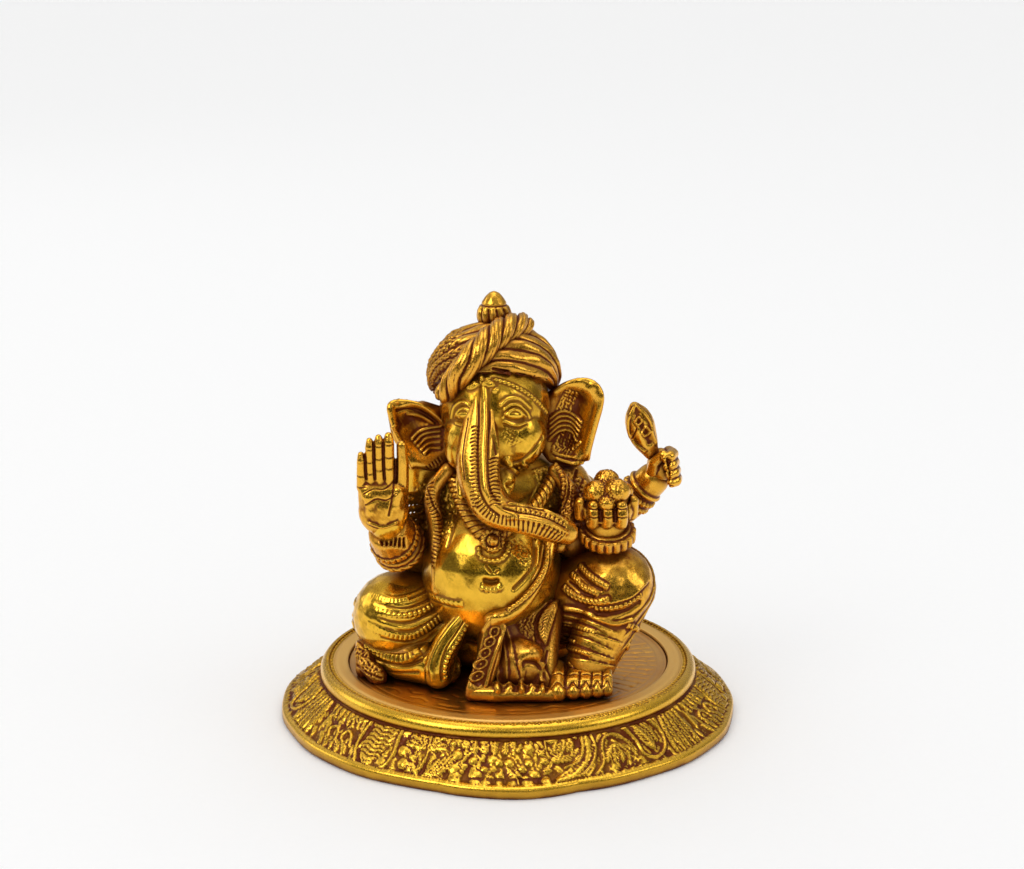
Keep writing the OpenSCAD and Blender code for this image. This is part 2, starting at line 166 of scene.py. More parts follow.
def egg(centre, radii, turn=(0, 0, 0)):
    """A rounded mass: its middle, its three radii, and its turn about x, y and z in degrees."""
    turned = Matrix.Identity(4)
    for angle, axis in zip(turn, "XYZ"):
        turned = Matrix.Rotation(math.radians(angle), 4, axis) @ turned
    return [[Matrix.Translation(centre) @ turned @ Matrix.Diagonal((*radii, 1))]]


def hull(*balls):
    """The skin stretched over balls (x, y, z, radius)."""
    return [[Matrix.Translation((x, y, z)) @ Matrix.Scale(r, 4) for x, y, z, r in balls]]


def limb(*stations):
    """A tapering rounded limb through stations (x, y, z, radius)."""
    return [mass for a, b in zip(stations, stations[1:]) for mass in hull(a, b)]


def taper(*stations, step=1.5):
    """A limb whose stations are joined by a smooth curve, not by straight stretches."""
    return limb(*curve_through(stations, step))


def add_mass(bm, balls):
    """Adds one ball, or the convex skin of several, to a bmesh."""
    part = bmesh.new()
    for ball in balls:
        fine = 3 if ball.to_scale().length > 5 else 2
        bmesh.ops.create_icosphere(part, subdivisions=fine, radius=1, matrix=ball)
    if len(balls) > 1:
        bmesh.ops.delete(part, geom=part.edges, context="EDGES_FACES")
        made = bmesh.ops.convex_hull(part, input=part.verts)
        loose = (*made["geom_interior"], *made["geom_unused"])
        spare = {v for v in loose if isinstance(v, bmesh.types.BMVert)}
        bmesh.ops.delete(part, geom=list(spare), context="VERTS")
    mesh = bpy.data.meshes.new("mass")
    part.to_mesh(mesh)
    part.free()
    bm.from_mesh(mesh)
    bpy.data.meshes.remove(mesh)


def blend_rows(values, ends, count):
    """Mean of each vertex's neighbours."""
    total = np.zeros_like(values)
    for axis in range(values.shape[1]):
        total[:, axis] = np.bincount(ends[:, 0], values[ends[:, 1], axis], count) + np.bincount(
            ends[:, 1], values[ends[:, 0], axis], count)
    near = np.bincount(ends.ravel(), minlength=count)[:, None]
    return total / np.maximum(near, 1)


# The faint unevenness of the cast skin: its height and how far apart its swellings are.
CAST_SKIN = 0.009
CAST_SKIN_PITCH = 1.3


class Clay:
    """A piece built up from masses, skinned, then chased with tool marks."""

    def __init__(self, masses, grain, smooth=4, cut=((0, 0, 0), (0, 0, 1))):
        """Skins the masses at grain millimetres, cut off flat behind a plane (point, way out)."""
        bm = bmesh.new()
        for mass in masses:
            add_mass(bm, mass)
        mesh = bpy.data.meshes.new("clay")
        bm.to_mesh(mesh)
        bm.free()
        body = bpy.data.objects.new("clay", mesh)
        bpy.context.scene.collection.objects.link(body)
        skin = body.modifiers.new("skin", "REMESH")
        skin.mode = "VOXEL"
        skin.voxel_size = grain * COARSE
        bpy.context.view_layer.update()
        deps = bpy.context.evaluated_depsgraph_get()
        bm = bmesh.new()
        bm.from_mesh(body.evaluated_get(deps).to_mesh())
        bpy.data.objects.remove(body)
        self.slice_off(bm, *cut)
        self.take(bm, smooth)

    @staticmethod
    def slice_off(bm, at, out):
        """Cuts away what lies behind a plane and closes the cut."""
        bmesh.ops.bisect_plane(bm, geom=[*bm.verts, *bm.edges, *bm.faces], dist=1e-4, plane_co=at,
                               plane_no=out, clear_inner=True)
        rim = [e for e in bm.edges if e.is_boundary]
        if rim:
            caps = bmesh.ops.holes_fill(bm, edges=rim)["faces"]
            bmesh.ops.triangulate(bm, faces=caps)

    def take(self, bm, smooth):
        """Keeps a bmesh as the piece's mesh, relaxed a number of times."""
        self.mesh = bpy.data.meshes.new("clay")
        bmesh.ops.recalc_face_normals(bm, faces=bm.faces)
        bm.to_mesh(self.mesh)
        bm.free()
        self.count = len(self.mesh.vertices)
        self.co = self.read(self.mesh.vertices, "co")
        ends = np.zeros(len(self.mesh.edges) * 2, np.int32)
        self.mesh.edges.foreach_get("vertices", ends)
        self.ends = ends.reshape(-1, 2)
        floor = self.co[:, 2] < 0.01
        for _ in range(max(1, round(smooth / COARSE))):
            moved = self.co + 0.5 * (blend_rows(self.co, self.ends, self.count) - self.co)
            moved[floor, 2] = self.co[floor, 2]
            self.co = moved
        self.lift = np.zeros(self.count)
        self.settle()

    @staticmethod
    def read(items, name):
        """Rows of three numbers read from a mesh's vertices or normals."""
        flat = np.zeros(len(items) * 3, np.float32)
        items.foreach_get(name, flat)
        return flat.reshape(-1, 3).astype(float)

    def settle(self):
        """Puts the worked shape into the mesh and takes its normals and its search tree."""
        self.mesh.vertices.foreach_set("co", self.co.astype(np.float32).ravel())
        self.mesh.update()
        self.normal = self.read(self.mesh.vertex_normals, "vector")
        bm = bmesh.new()
        bm.from_mesh(self.mesh)
        self.tree = BVHTree.FromBMesh(bm)
        bm.free()

    def press(self):
        """Pushes the pending marks into the surface, so that later marks lie on them."""
        self.co = self.co + self.normal * self.lift[:, None]
        self.lift[:] = 0
        self.settle()

    def on_surface(self, points, view):
        """Line rows that lie on the surface, with the surface's normals there."""
        line = curve_through(points)
        found, normals = [], []
        if line.shape[1] == 3:
            for p in line:
                hit, normal, _, _ = self.tree.find_nearest(Vector(p))
                found.append(hit)
                normals.append(normal)
        else:
            right, up, far, way = (Vector(v) for v in VIEWS[view])
            for a, b in line:
                hit, normal, _, _ = self.tree.ray_cast(right * a + up * b + far, way.normalized())
                if hit:
                    found.append(hit)
                    normals.append(normal)
        return np.array(found, float).reshape(-1, 3), np.array(normals, float).reshape(-1, 3)

    def mark(self, kind, width, height, points, pitch=0.0, view="front"):
        """Adds one tool mark along a line: width and height in millimetres."""
        if len(points) == 1:
            a = np.array(points[0], float)
            points = [a - 0.02, a + 0.02]
        line, facing = self.on_surface(points, view)
        if len(line) < 2:
            return
        reach = width * (1.6 if kind in ("groove", "ridge", "lip") else 0.75) + 0.3
        round_ended = kind in ("groove", "ridge", "lip", "band")
        inside = (self.co > line.min(0) - reach) & (self.co < line.max(0) + reach)
        near = np.nonzero(inside.all(1))[0]
        if not len(near):
            return
        where = self.co[near]
        step = np.linalg.norm(np.diff(line, axis=0), axis=1)
        run = np.r_[0, np.cumsum(step)]
        forward = np.gradient(line, axis=0)
        forward /= np.linalg.norm(forward, axis=1)[:, None] + 1e-9
        left = np.cross(facing, forward)
        gaps = (where**2).sum(1)[:, None] + (line**2).sum(1)[None] - 2 * where @ line.T
        best = gaps.argmin(1)
        delta = where - line[best]
        s = (delta * forward[best]).sum(1)
        side = (delta * left[best]).sum(1)
        d = np.sign(side) * np.sqrt(np.clip((delta**2).sum(1) - s**2, 0, None))
        beyond = np.maximum(-(s + run[best]), s + run[best] - run[-1])
        s = s + run[best]
        keep = (np.abs(d) < reach) & ((self.normal[near] * facing[best]).sum(1) > 0.05)
        if round_ended or len(points) == 2 and run[-1] < 0.5:
            d = np.sign(d + 1e-12) * np.hypot(d, np.maximum(beyond, 0))
            ends = 1.0
        else:
            ends = 1 - smoothstep(beyond, -0.1, 0.15)
        value = mark_height(kind, s, d, run[-1], width, pitch, where) * ends * keep
        self.lift[near] += value * (-height if kind in CUTS else height)

    def marks(self, rows, view="front"):
        """Several marks of (kind, width, height, points) or (kind, width, height, pitch, points)."""
        for row in rows:
            kind, width, height, points = row[0], row[1], row[2], row[-1]
            pitch = row[3] if len(row) == 5 else 0.0
            self.mark(kind, width, height, points, pitch, view)

    def dots(self, radius, height, points, view="front"):
        """Round bosses, or pits where height is below 0."""
        for p in points:
            self.mark("ridge", 2 * radius, height, [p], view=view)

    def hoop(self, kind, centre, axis, width, height, pitch=0.0, within=99.0):
        """A mark that runs round a limb in the plane through centre."""
        axis = np.array(Vector(axis).normalized())
        delta = self.co - np.array(centre, float)
        d = delta @ axis
        flat = delta - d[:, None] * axis
        radius = np.linalg.norm(flat, axis=1)
        near = (np.abs(d) < 1.5 * width) & (radius < within)
        if not near.any():
            return
        one = np.array(Vector(axis).orthogonal().normalized())
        two = np.cross(axis, one)
        # A whole number of teeth or beads goes round.
        mean = radius[near].mean()
        turns = max(1, round(2 * math.pi * mean / (pitch or width)))
        s = np.arctan2(flat[near] @ two, flat[near] @ one) * turns * (pitch or width) / (2 * math.pi)
        endless = 1e6
        value = mark_height(kind, s, d[near], endless, width, pitch, self.co[near])
        self.lift[near] += value * (-height if kind in CUTS else height)

    def finish(self, name, finish):
        """Makes the worked clay the piece that stands for the CAD node of the same name."""
        self.lift += CAST_SKIN * pebbles(self.co, CAST_SKIN_PITCH)
        self.co = self.co + self.normal * self.lift[:, None]
        self.mesh.vertices.foreach_set("co", self.co.astype(np.float32).ravel())
        self.mesh.update()
        normal = self.read(self.mesh.vertex_normals, "vector")
        recess = np.zeros(self.count)
        soft = self.co.copy()
        done = 0
        for times, share in ((3, 6.0), (12, 2.2)):
            for _ in range(max(1, round((times - done) / COARSE))):
                soft = blend_rows(soft, self.ends, self.count)
            done = times
            recess += share * ((soft - self.co) * normal).sum(1)
        recess = blend_rows(recess[:, None], self.ends, self.count)[:, 0] * 0.5 + recess * 0.5
        hollow = self.mesh.attributes.new("hollow", "FLOAT", "POINT")
        hollow.data.foreach_set("value", np.clip(0.5 + recess, 0, 1).astype(np.float32))
        self.mesh.transform(Matrix.Translation((0, 0, FLOOR)) @ Matrix.Scale(FIGURE_MM, 4))
        show_piece(name, self.mesh, finish_named(finish))


def show_piece(name, mesh, material):
    """A finished piece, riding on the one body and standing for the CAD node of its name."""
    mesh.name = name
    mesh.polygons.foreach_set("use_smooth", [True] * len(mesh.polygons))
    mesh.materials.append(material)
    piece = bpy.data.objects.new(name, mesh)
    bpy.context.scene.collection.objects.link(piece)
    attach(piece, "root")
    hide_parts(name)


# ---------- finishes ----------


def linear(code):
    """An sRGB hex colour as the linear numbers that shaders take."""
    parts = [int(code[i:i + 2], 16) / 255 for i in (1, 3, 5)]
    parts = [c / 12.92 if c <= 0.04045 else ((c + 0.055) / 1.055) ** 2.4 for c in parts]
    return (*parts, 1.0)


def add_node(tree, kind, settings=None, **inputs):
    """Adds one node; inputs take a value or an output socket, by name or number (as _0)."""
    node = tree.nodes.new(kind)
    for name, value in (settings or {}).items():
        setattr(node, name, value)
    for name, value in inputs.items():
        key = int(name[1:]) if name[1:].isdigit() else name.replace("_", " ")
        socket = node.inputs[key]
        if isinstance(value, bpy.types.NodeSocket):
            tree.links.new(value, socket)
        else:
            socket.default_value = value
    return node


def ramp(tree, factor, stops):
    """A colour ramp through (position, colour) stops."""
    node = add_node(tree, "ShaderNodeValToRGB", Fac=factor)
    elements = node.color_ramp.elements
    while len(elements) < len(stops):
        elements.new(0.5)
    for element, (at, colour) in zip(elements, stops):
        element.position = at
        element.color = colour
    return node.outputs["Color"]


def new_material(name):
    """A material with its node tree, its shader and the piece's own coordinates."""
    material = bpy.data.materials.new(name)
    material.use_nodes = True
    tree = material.node_tree
    tree.nodes.clear()
    shader = add_node(tree, "ShaderNodeBsdfPrincipled")
    add_node(tree, "ShaderNodeOutputMaterial", Surface=shader.outputs[0])
    place = add_node(tree, "ShaderNodeTexCoord").outputs["Object"]
    return material, tree, shader, place


def grey(value):
    """A linear grey, for the ramps that carry an amount."""
    return (value, value, value, 1)


def gilt(name, bright, deep, patina_and_shade, rough, toning_and_shade_amount, grit, coat=0.12):
    """Gilded cast brass under a toned lacquer.

    Sand-cast and chased, then gilded, toned dark in the hollows and wiped back: the eye gets
    hard yellow lights on what stands proud and red-brown in every cut. Painted shade from an
    occlusion node also darkens the colour towards the toning colour wherever other surfaces close in.
    """
    material, tree, shader, place = new_material(name)
    hollow = add_node(tree, "ShaderNodeAttribute", {"attribute_name": "hollow"}).outputs["Fac"]
    # Painted shade: an occlusion node, dark wherever other surfaces close in within 6 mm.
    shade = add_node(tree, "ShaderNodeAmbientOcclusion", {"samples": 6}, Distance=6 * MM).outputs["AO"]
    # Clouds of thicker and thinner toning and painted shade, about 6 mm across.
    clouds = add_node(tree, "ShaderNodeTexNoise", Vector=place, Scale=1 / (6 * MM), Detail=3.0).outputs["Fac"]
    # The cast skin's grain, 0.45 mm across.
    grains = add_node(tree, "ShaderNodeTexNoise", Vector=place, Scale=1 / (0.45 * MM),
                      Detail=2.0, Roughness=0.6).outputs["Fac"]
    cut = ramp(tree, hollow, [(0.5, grey(0)), (0.57, grey(0.5)), (0.72, grey(1))])
    shut = ramp(tree, shade, [(0.32, grey(1)), (0.68, grey(0.45)), (0.95, grey(0))])
    both = add_node(tree, "ShaderNodeMath", {"operation": "MAXIMUM"}, _0=cut, _1=shut).outputs[0]
    patchy = add_node(tree, "ShaderNodeMapRange", _0=clouds, _1=0.3, _2=0.7, _3=0.75 * toning_and_shade_amount,
                      _4=1.25 * toning_and_shade_amount).outputs[0]
    toning_and_shade = add_node(tree, "ShaderNodeMath", {"operation": "MULTIPLY", "use_clamp": True},
                     _0=both, _1=patchy).outputs[0]
    gold = ramp(tree, clouds, [(0.3, deep), (0.62, bright)])
    worn = ramp(tree, hollow, [(0.3, grey(1)), (0.48, grey(0))])
    rubbed = add_node(tree, "ShaderNodeMix", {"data_type": "RGBA"}, _0=worn, _6=gold, _7=bright).outputs[2]
    # The colour goes to the toning colour in the hollows, which is real toning, and where the occlusion node
    # is dark, which is painted shade.
    colour = add_node(tree, "ShaderNodeMix", {"data_type": "RGBA"}, _0=toning_and_shade, _6=rubbed, _7=patina_and_shade).outputs[2]
    tree.links.new(colour, shader.inputs["Base Color"])
    metal = add_node(tree, "ShaderNodeMapRange", _0=toning_and_shade, _1=0.0, _2=1.0, _3=1.0, _4=0.85).outputs[0]
    tree.links.new(metal, shader.inputs["Metallic"])
    spread = add_node(tree, "ShaderNodeMapRange", _0=grains, _1=0.3, _2=0.7, _3=rough - 0.05,
                      _4=rough + 0.07).outputs[0]
    dull = add_node(tree, "ShaderNodeMath", {"operation": "MULTIPLY_ADD"}, _0=toning_and_shade, _1=0.3,
                    _2=spread).outputs[0]
    tree.links.new(dull, shader.inputs["Roughness"])
    bump = add_node(tree, "ShaderNodeBump", Strength=grit, Distance=0.12 * MM, Height=grains).outputs[0]
    tree.links.new(bump, shader.inputs["Normal"])
    shader.inputs["Coat Weight"].default_value = coat
    shader.inputs["Coat Roughness"].default_value = 0.12
    return material


def lacquered_copper_brass(name, colour):
    """Copper-toned brass sheet, engraved and lacquered: a satin orange-brown glow with fine rubs, and painted
    shade in dark brown where other surfaces close in.
    """
    rough = 0.32
    material, tree, shader, place = new_material(name)
    rubs = add_node(tree, "ShaderNodeTexNoise", Vector=place, Scale=1 / (1.6 * MM), Detail=3.0).outputs["Fac"]
    clouds = add_node(tree, "ShaderNodeTexNoise", Vector=place, Scale=1 / (11 * MM),
        Detail=3.0).outputs["Fac"]
    # Painted shade: an occlusion node within 8 mm pulls the colour towards dark brown wherever other surfaces
    # close in.
    shade = add_node(tree, "ShaderNodeAmbientOcclusion", {"samples": 6}, Distance=8 * MM).outputs["AO"]
    tone = ramp(tree, clouds, [(0.3, colour), (0.7, linear("#E8AC48"))])
    near = ramp(tree, shade, [(0.2, grey(0.85)), (0.8, grey(0))])
    both = add_node(tree, "ShaderNodeMix", {"data_type": "RGBA"}, _0=near, _6=tone,
                    _7=linear("#4A2006")).outputs[2]
    tree.links.new(both, shader.inputs["Base Color"])
    spread = add_node(tree, "ShaderNodeMapRange", _0=rubs, _3=rough - 0.05, _4=rough + 0.1).outputs[0]
    tree.links.new(spread, shader.inputs["Roughness"])
    bump = add_node(tree, "ShaderNodeBump", Strength=0.1, Distance=0.05 * MM, Height=rubs).outputs[0]
    tree.links.new(bump, shader.inputs["Normal"])
    shader.inputs["Metallic"].default_value = 1.0
    shader.inputs["Coat Weight"].default_value = 0.25
    return material


def turned_steel(name):
    """Zinc-plated turned steel: pale grey with fine turning marks."""
    material, tree, shader, place = new_material(name)
    lines = add_node(tree, "ShaderNodeTexWave", {"bands_direction": "Z"}, Vector=place,
                     Scale=1 / (0.6 * MM), Distortion=0.3).outputs["Fac"]
    tone = ramp(tree, lines, [(0.2, linear("#9A9C9E")), (0.8, linear("#C9CBCC"))])
    tree.links.new(tone, shader.inputs["Base Color"])
    spread = add_node(tree, "ShaderNodeMapRange", _0=lines, _3=0.28, _4=0.4).outputs[0]
    tree.links.new(spread, shader.inputs["Roughness"])
    shader.inputs["Metallic"].default_value = 1.0
    return material


def seamless_paper(name, colour):
    """Matt white studio paper, an even ground with no edge."""
    material, tree, shader, place = new_material(name)
    fibre = add_node(tree, "ShaderNodeTexNoise", Vector=place, Scale=1 / (2 * MM), Detail=3.0).outputs["Fac"]
    tone = ramp(tree, fibre, [(0.0, linear(colour)), (1.0, linear("#FFFFFF"))])
    tree.links.new(tone, shader.inputs["Base Color"])
    shader.inputs["Roughness"].default_value = 0.9
    return material


# ---------- settings a user would change ----------


def colour_property(name, description, code):
    """A colour a user can pick, whose default is an sRGB hex value."""
    return bpy.props.FloatVectorProperty(
        name=name, description=description, subtype="COLOR", size=4, min=0, max=1, default=linear(code))


class GaneshaFinish(bpy.types.PropertyGroup):
    """Colours of the gilding and of the floor."""

    bright: colour_property("Bright gold", "The rubbed gilding", "#F2BC38")
    deep: colour_property("Deep gold", "The gilding in thicker lacquer", "#B47E10")
    chased: colour_property("Chased gold", "The warmer gilding on chased work", "#F0B23A")
    cloth: colour_property("Cloth gold", "The toned gilding on cloth and turban", "#EAAA3A")
    # The toning colour is also the colour of the painted shade where surfaces close in.
    patina_and_shade: colour_property("Toning", "The toning left in the hollows", "#6A2E04")
    floor: colour_property("Floor disc", "The copper-toned floor", "#DA9636")
    gloss: bpy.props.FloatProperty(
        name="Roughness", description="Roughness of the polished gilding", subtype="FACTOR",
        default=0.2, min=0.05, max=0.6)


class GaneshaSizes(bpy.types.PropertyGroup):
    """How finely the pieces are skinned and how deep the plinth's frieze is cut."""

    body_grain: bpy.props.FloatProperty(
        name="Body grain", description="Skin spacing on large forms, in millimetres",
        default=0.34, min=0.2, max=1)
    fine_grain: bpy.props.FloatProperty(
        name="Fine grain", description="Skin spacing on small forms, in millimetres",
        default=0.24, min=0.15, max=1)
    relief: bpy.props.FloatProperty(
        name="Frieze relief", description="Height of the frieze's leaves, in millimetres",
        default=0.9, min=0.2, max=2)


def settings():
    """The scene's finish and its sizes."""
    scene = bpy.context.scene
    return scene.ganesha_finish, scene.ganesha_sizes


def finish_named(name):
    """One of the statue's finishes, made when it is first asked for."""
    if name in bpy.data.materials:
        return bpy.data.materials[name]
    look = settings()[0]
    patina_and_shade = tuple(look.patina_and_shade)
    if name == "turned_steel":
        return turned_steel(name)
    if name == "lacquered_copper_brass":
        return lacquered_copper_brass(name, tuple(look.floor))
    if name == "brushed_pale_gilding":
        return gilt(name, linear("#F6C56C"), linear("#E8AE4C"), patina_and_shade, rough=0.46, toning_and_shade_amount=0.4, grit=0.15,
            coat=0)
    # Each gilding: its bright and deep colours, how much rougher than polished work it is, how much
    # toning, and painted shade where surfaces close in, is laid on it and how strong its grain is.
    bright, deep, rougher, toning_and_shade_amount, grit = {
        "polished_gilding": (look.bright, look.deep, 0, 0.75, 0.1),
        "chased_gilding": (look.chased, linear("#A4660E"), 0.04, 1.05, 0.2),
        "toned_cloth_gilding": (look.cloth, linear("#98580E"), 0.07, 1.4, 0.35),
        "toned_turban_gilding": (look.cloth, linear("#8A4A0C"), 0.04, 1.35, 0.3),
        "frieze_gilding": (look.bright, look.deep, 0.06, 0.95, 0.35),
    }[name]
    return gilt(name, tuple(bright), tuple(deep), patina_and_shade, look.gloss + rougher, toning_and_shade_amount, grit)


# ---------- the body ----------


def make_torso():
    """The round body, its navel, and the cord and cloth on its back."""
    fine = settings()[1]
    clay = Clay(
        egg((-4, -7, 25.5), (17.5, 17.5, 18.3)) + egg((-3, 1, 44), (18.5, 11.5, 12))
        + egg((-3, 5, 8), (24, 17, 12)) + egg((-3, 6, 28), (18, 12.5, 21))
        + egg((6, 2, 33), (12.5, 10, 12)), fine.body_grain, smooth=14)
    clay.marks([
        ("groove", 0.6, 0.35, [(-5.3, 25.3), (-4, 23.6)]),
        ("groove", 0.6, 0.35, [(-2.4, 24), (-3, 23.4)]),
        ("groove", 1.7, 1.6, [(-5.4, 21.2), (-4, 20.9), (-2.7, 21.2)]),
        ("beads", 0.9, 0.45, 1.0, [(-6.4, 19.8), (-5, 19.2), (-3, 19.1), (-1.4, 19.7)]),
        ("beads", 1.1, 0.6, 1.1, [(-7, 30), (-6.5, 27.5), (-4, 26.5), (-1.5, 27), (0, 29), (0.2, 31)]),
        ("stipple", 4.5, 0.25, 1.1, [(0.6, 31.5), (2.5, 29), (4.5, 26), (6, 24)]),
        ("stipple", 6, 0.6, 1.3, [(-13.5, 46), (-14.5, 42), (-15, 38), (-15.5, 33)]),
        ("lip", 1.8, 0.5, [(6.5, 44), (5, 40.6), (4.6, 36)]),
        ("groove", 1.0, 0.5, [(-12.4, 44), (-12.6, 40), (-13.2, 35), (-14.6, 30)]),
        ("stipple", 6, 0.5, 1.0, [(8, 50), (9.5, 47), (11, 44), (11, 40)]),
        ("beads", 1.3, 0.6, 1.3, [(8, 39.5), (9.5, 42), (11.5, 45)]),
        ("groove", 1.2, 0.7, [(7.5, 34.5), (6.5, 31.5), (6.6, 28), (6, 25), (4, 22), (1.5, 19.4)]),
        ("rope", 1.6, 0.35, 1.4, [(-19, 17.4), (-16, 16.3), (-13, 15.6), (-11, 15.5)]),
    ])
    for side in (-1, 1):
        clay.mark("ridge", 10, 0.9, [(-3 + 7 * side, 49), (-3 + 6.5 * side, 42)], view="back")
        clay.marks([
            ("lip", 3.0, 0.6, [(-3 - 3 * side, 19 - 1.5 * i), (-3 - (9 + 2 * i) * side, 16 - 2 * i),
                (-3 - (20 + i) * side, 12 - 2.4 * i)])
            for i in range(5)], view="back")
    clay.marks([
        ("groove", 3.0, 0.9, [(-3, 54), (-3, 46), (-3, 38), (-3, 30), (-3, 25)]),
        ("band", 4.2, 0.8, [(13, 51), (7, 44), (0, 36), (-8, 29), (-17, 22.5)]),
        ("beads", 1.3, 0.5, 1.4, [(13, 51), (7, 44), (0, 36), (-8, 29), (-17, 22.5)]),
        ("groove", 0.7, 0.5, [(14.2, 49.8), (8.4, 42.8), (1.4, 34.8), (-6.6, 27.6), (-16, 21)]),
        ("groove", 0.7, 0.5, [(11.6, 52), (5.6, 45.2), (-1.4, 37.2), (-9.4, 30.4), (-18, 24)]),
        ("rope", 2.6, 0.9, 2.0, [(-24, 19.5), (-14, 21), (-3, 21.6), (8, 21), (19, 19.5)]),
        ("beads", 1.4, 0.6, 1.6, [(-24, 16.8), (-14, 18.4), (-3, 19), (8, 18.4), (19, 16.8)]),
        ("beads", 1.6, 0.7, 1.7, [(-17, 55), (-10, 53.4), (-3, 53), (4, 53.4), (11, 55)]),
    ], view="back")
    clay.finish("torso", "polished_gilding")


def make_right_leg():
    """The leg folded on the floor, in a hemmed cloth."""
    clay = Clay(
        hull((-8, 1, 12, 11.3), (-27.3, -7, 14, 11.3)) + egg((-26, -7.5, 5), (10.4, 9, 6.6))
        + limb((-26, -12.5, 5, 5.6), (-19, -17, 4.6, 5), (-15.5, -17.6, 4.2, 4.2)),
        settings()[1].body_grain * 0.85, smooth=7)
    clay.marks([
        ("lip", 3.0, 0.45, [(-19, 20.4), (-22, 18.5), (-25, 17.4), (-28, 17.1), (-31, 17.9), (-34, 19)]),
        ("teeth", 1.5, 0.45, 0.9, [(-18.6, 19), (-22, 17.2), (-25, 16.2), (-28, 15.9), (-31, 16.7),
            (-33.5, 17.6)]),
        ("groove", 0.9, 0.6, [(-33, 15.8), (-30, 14.8), (-25, 14.3), (-20, 16), (-16.5, 18.7)]),
        ("beads", 1.4, 0.6, 1.3, [(-34, 13.9), (-29, 12.6), (-25, 12.3), (-21, 13.3), (-18, 15),
            (-14.5, 17)]),
        ("groove", 1.0, 0.65, [(-34, 12.6), (-28, 10.7), (-24, 10.5), (-20, 12.2), (-15.5, 15.3)]),
        ("ridge", 1.0, 0.4, [(-34, 11.4), (-28, 9.5), (-24, 9.2), (-20, 10.9), (-15, 14.4)]),
        ("teeth", 2.0, 0.8, 1.1, [(-34.5, 10), (-31, 8.2), (-28, 7.2), (-24, 6.9), (-21, 8.1), (-18.5, 10),
            (-15.5, 12.4), (-13, 14.6)]),
        ("groove", 0.7, 0.35, [(-31, 6.6), (-27, 5.6), (-24, 5.5), (-21, 6.7), (-18, 8.8), (-15.2, 11.2)]),
        ("teeth", 2.2, 0.9, 1.3, [(-37, 4.6), (-33, 3), (-30, 1.8), (-27, 1.2), (-24.3, 1.5), (-21.5, 3)]),
        ("groove", 0.8, 0.6, [(-35, 2.2), (-31, 0.4), (-27, -0.5), (-24, -0.2), (-21, 1.3)]),
        ("ridge", 1.4, 0.6, [(-13, 12.6), (-17, 8), (-21, 3.6)]),
        ("ridge", 1.3, 0.6, [(-12.6, 10.5), (-16, 6.2), (-20.2, 1)]),
        ("ridge", 1.2, 0.5, [(-12.4, 8.4), (-15.4, 4), (-19.4, -1.5)]),
        ("groove", 0.8, 0.5, [(-12.8, 11.6), (-16.5, 7), (-20.6, 2.2)]),
        ("groove", 0.8, 0.5, [(-12.5, 9.4), (-15.7, 5), (-19.8, -0.4)]),
        ("groove", 0.9, 0.5, [(-32, -1.6), (-28, -2.6), (-22, -2.2)]),
    ])
    clay.lift *= 0.08 + 0.8 * smoothstep(clay.co[:, 0], -34, -22)
    clay.marks([
        ("teeth", 2.2, 0.7, 1.2, [(-35, 4), (-33, 3), (-30, 1.8), (-27, 1.2), (-24.3, 1.5), (-21.5, 3)]),
        ("groove", 0.8, 0.5, [(-34, 1.2), (-31, 0), (-27, -0.8), (-24, -0.5), (-21, 1)]),
        ("groove", 0.9, 0.7, [(-18.4, 19.2), (-21, 17.8), (-24, 16.6)]),
    ])
    for view, rows in (
        ("right", [[(-8, 17.5), (-3, 17.4), (2, 18)], [(-9, 12), (-4, 12), (2, 13)],
            [(-9, 7), (-4, 7), (2, 8)]]),
        ("back", [[(-37, 18), (-30, 17), (-22, 18.5)], [(-38, 12.8), (-30, 12), (-22, 13.4)],
            [(-37, 7.6), (-30, 6.8), (-22, 8)]]),
    ):
        for line in rows:
            under = [(a, b - 1.7) for a, b in line]
            clay.marks([("teeth", 1.5, 0.35, 1.1, line), ("groove", 0.8, 0.35, under)], view=view)
        for i in range(6):
            low = [(a, b - 3.2 - 0.1 * i) for a, b in rows[i // 2]]
            clay.mark("ridge", 1.2, 0.25, [(a, b - (i % 2) * 1.4) for a, b in low], view=view)
    clay.finish("right_leg", "polished_gilding")


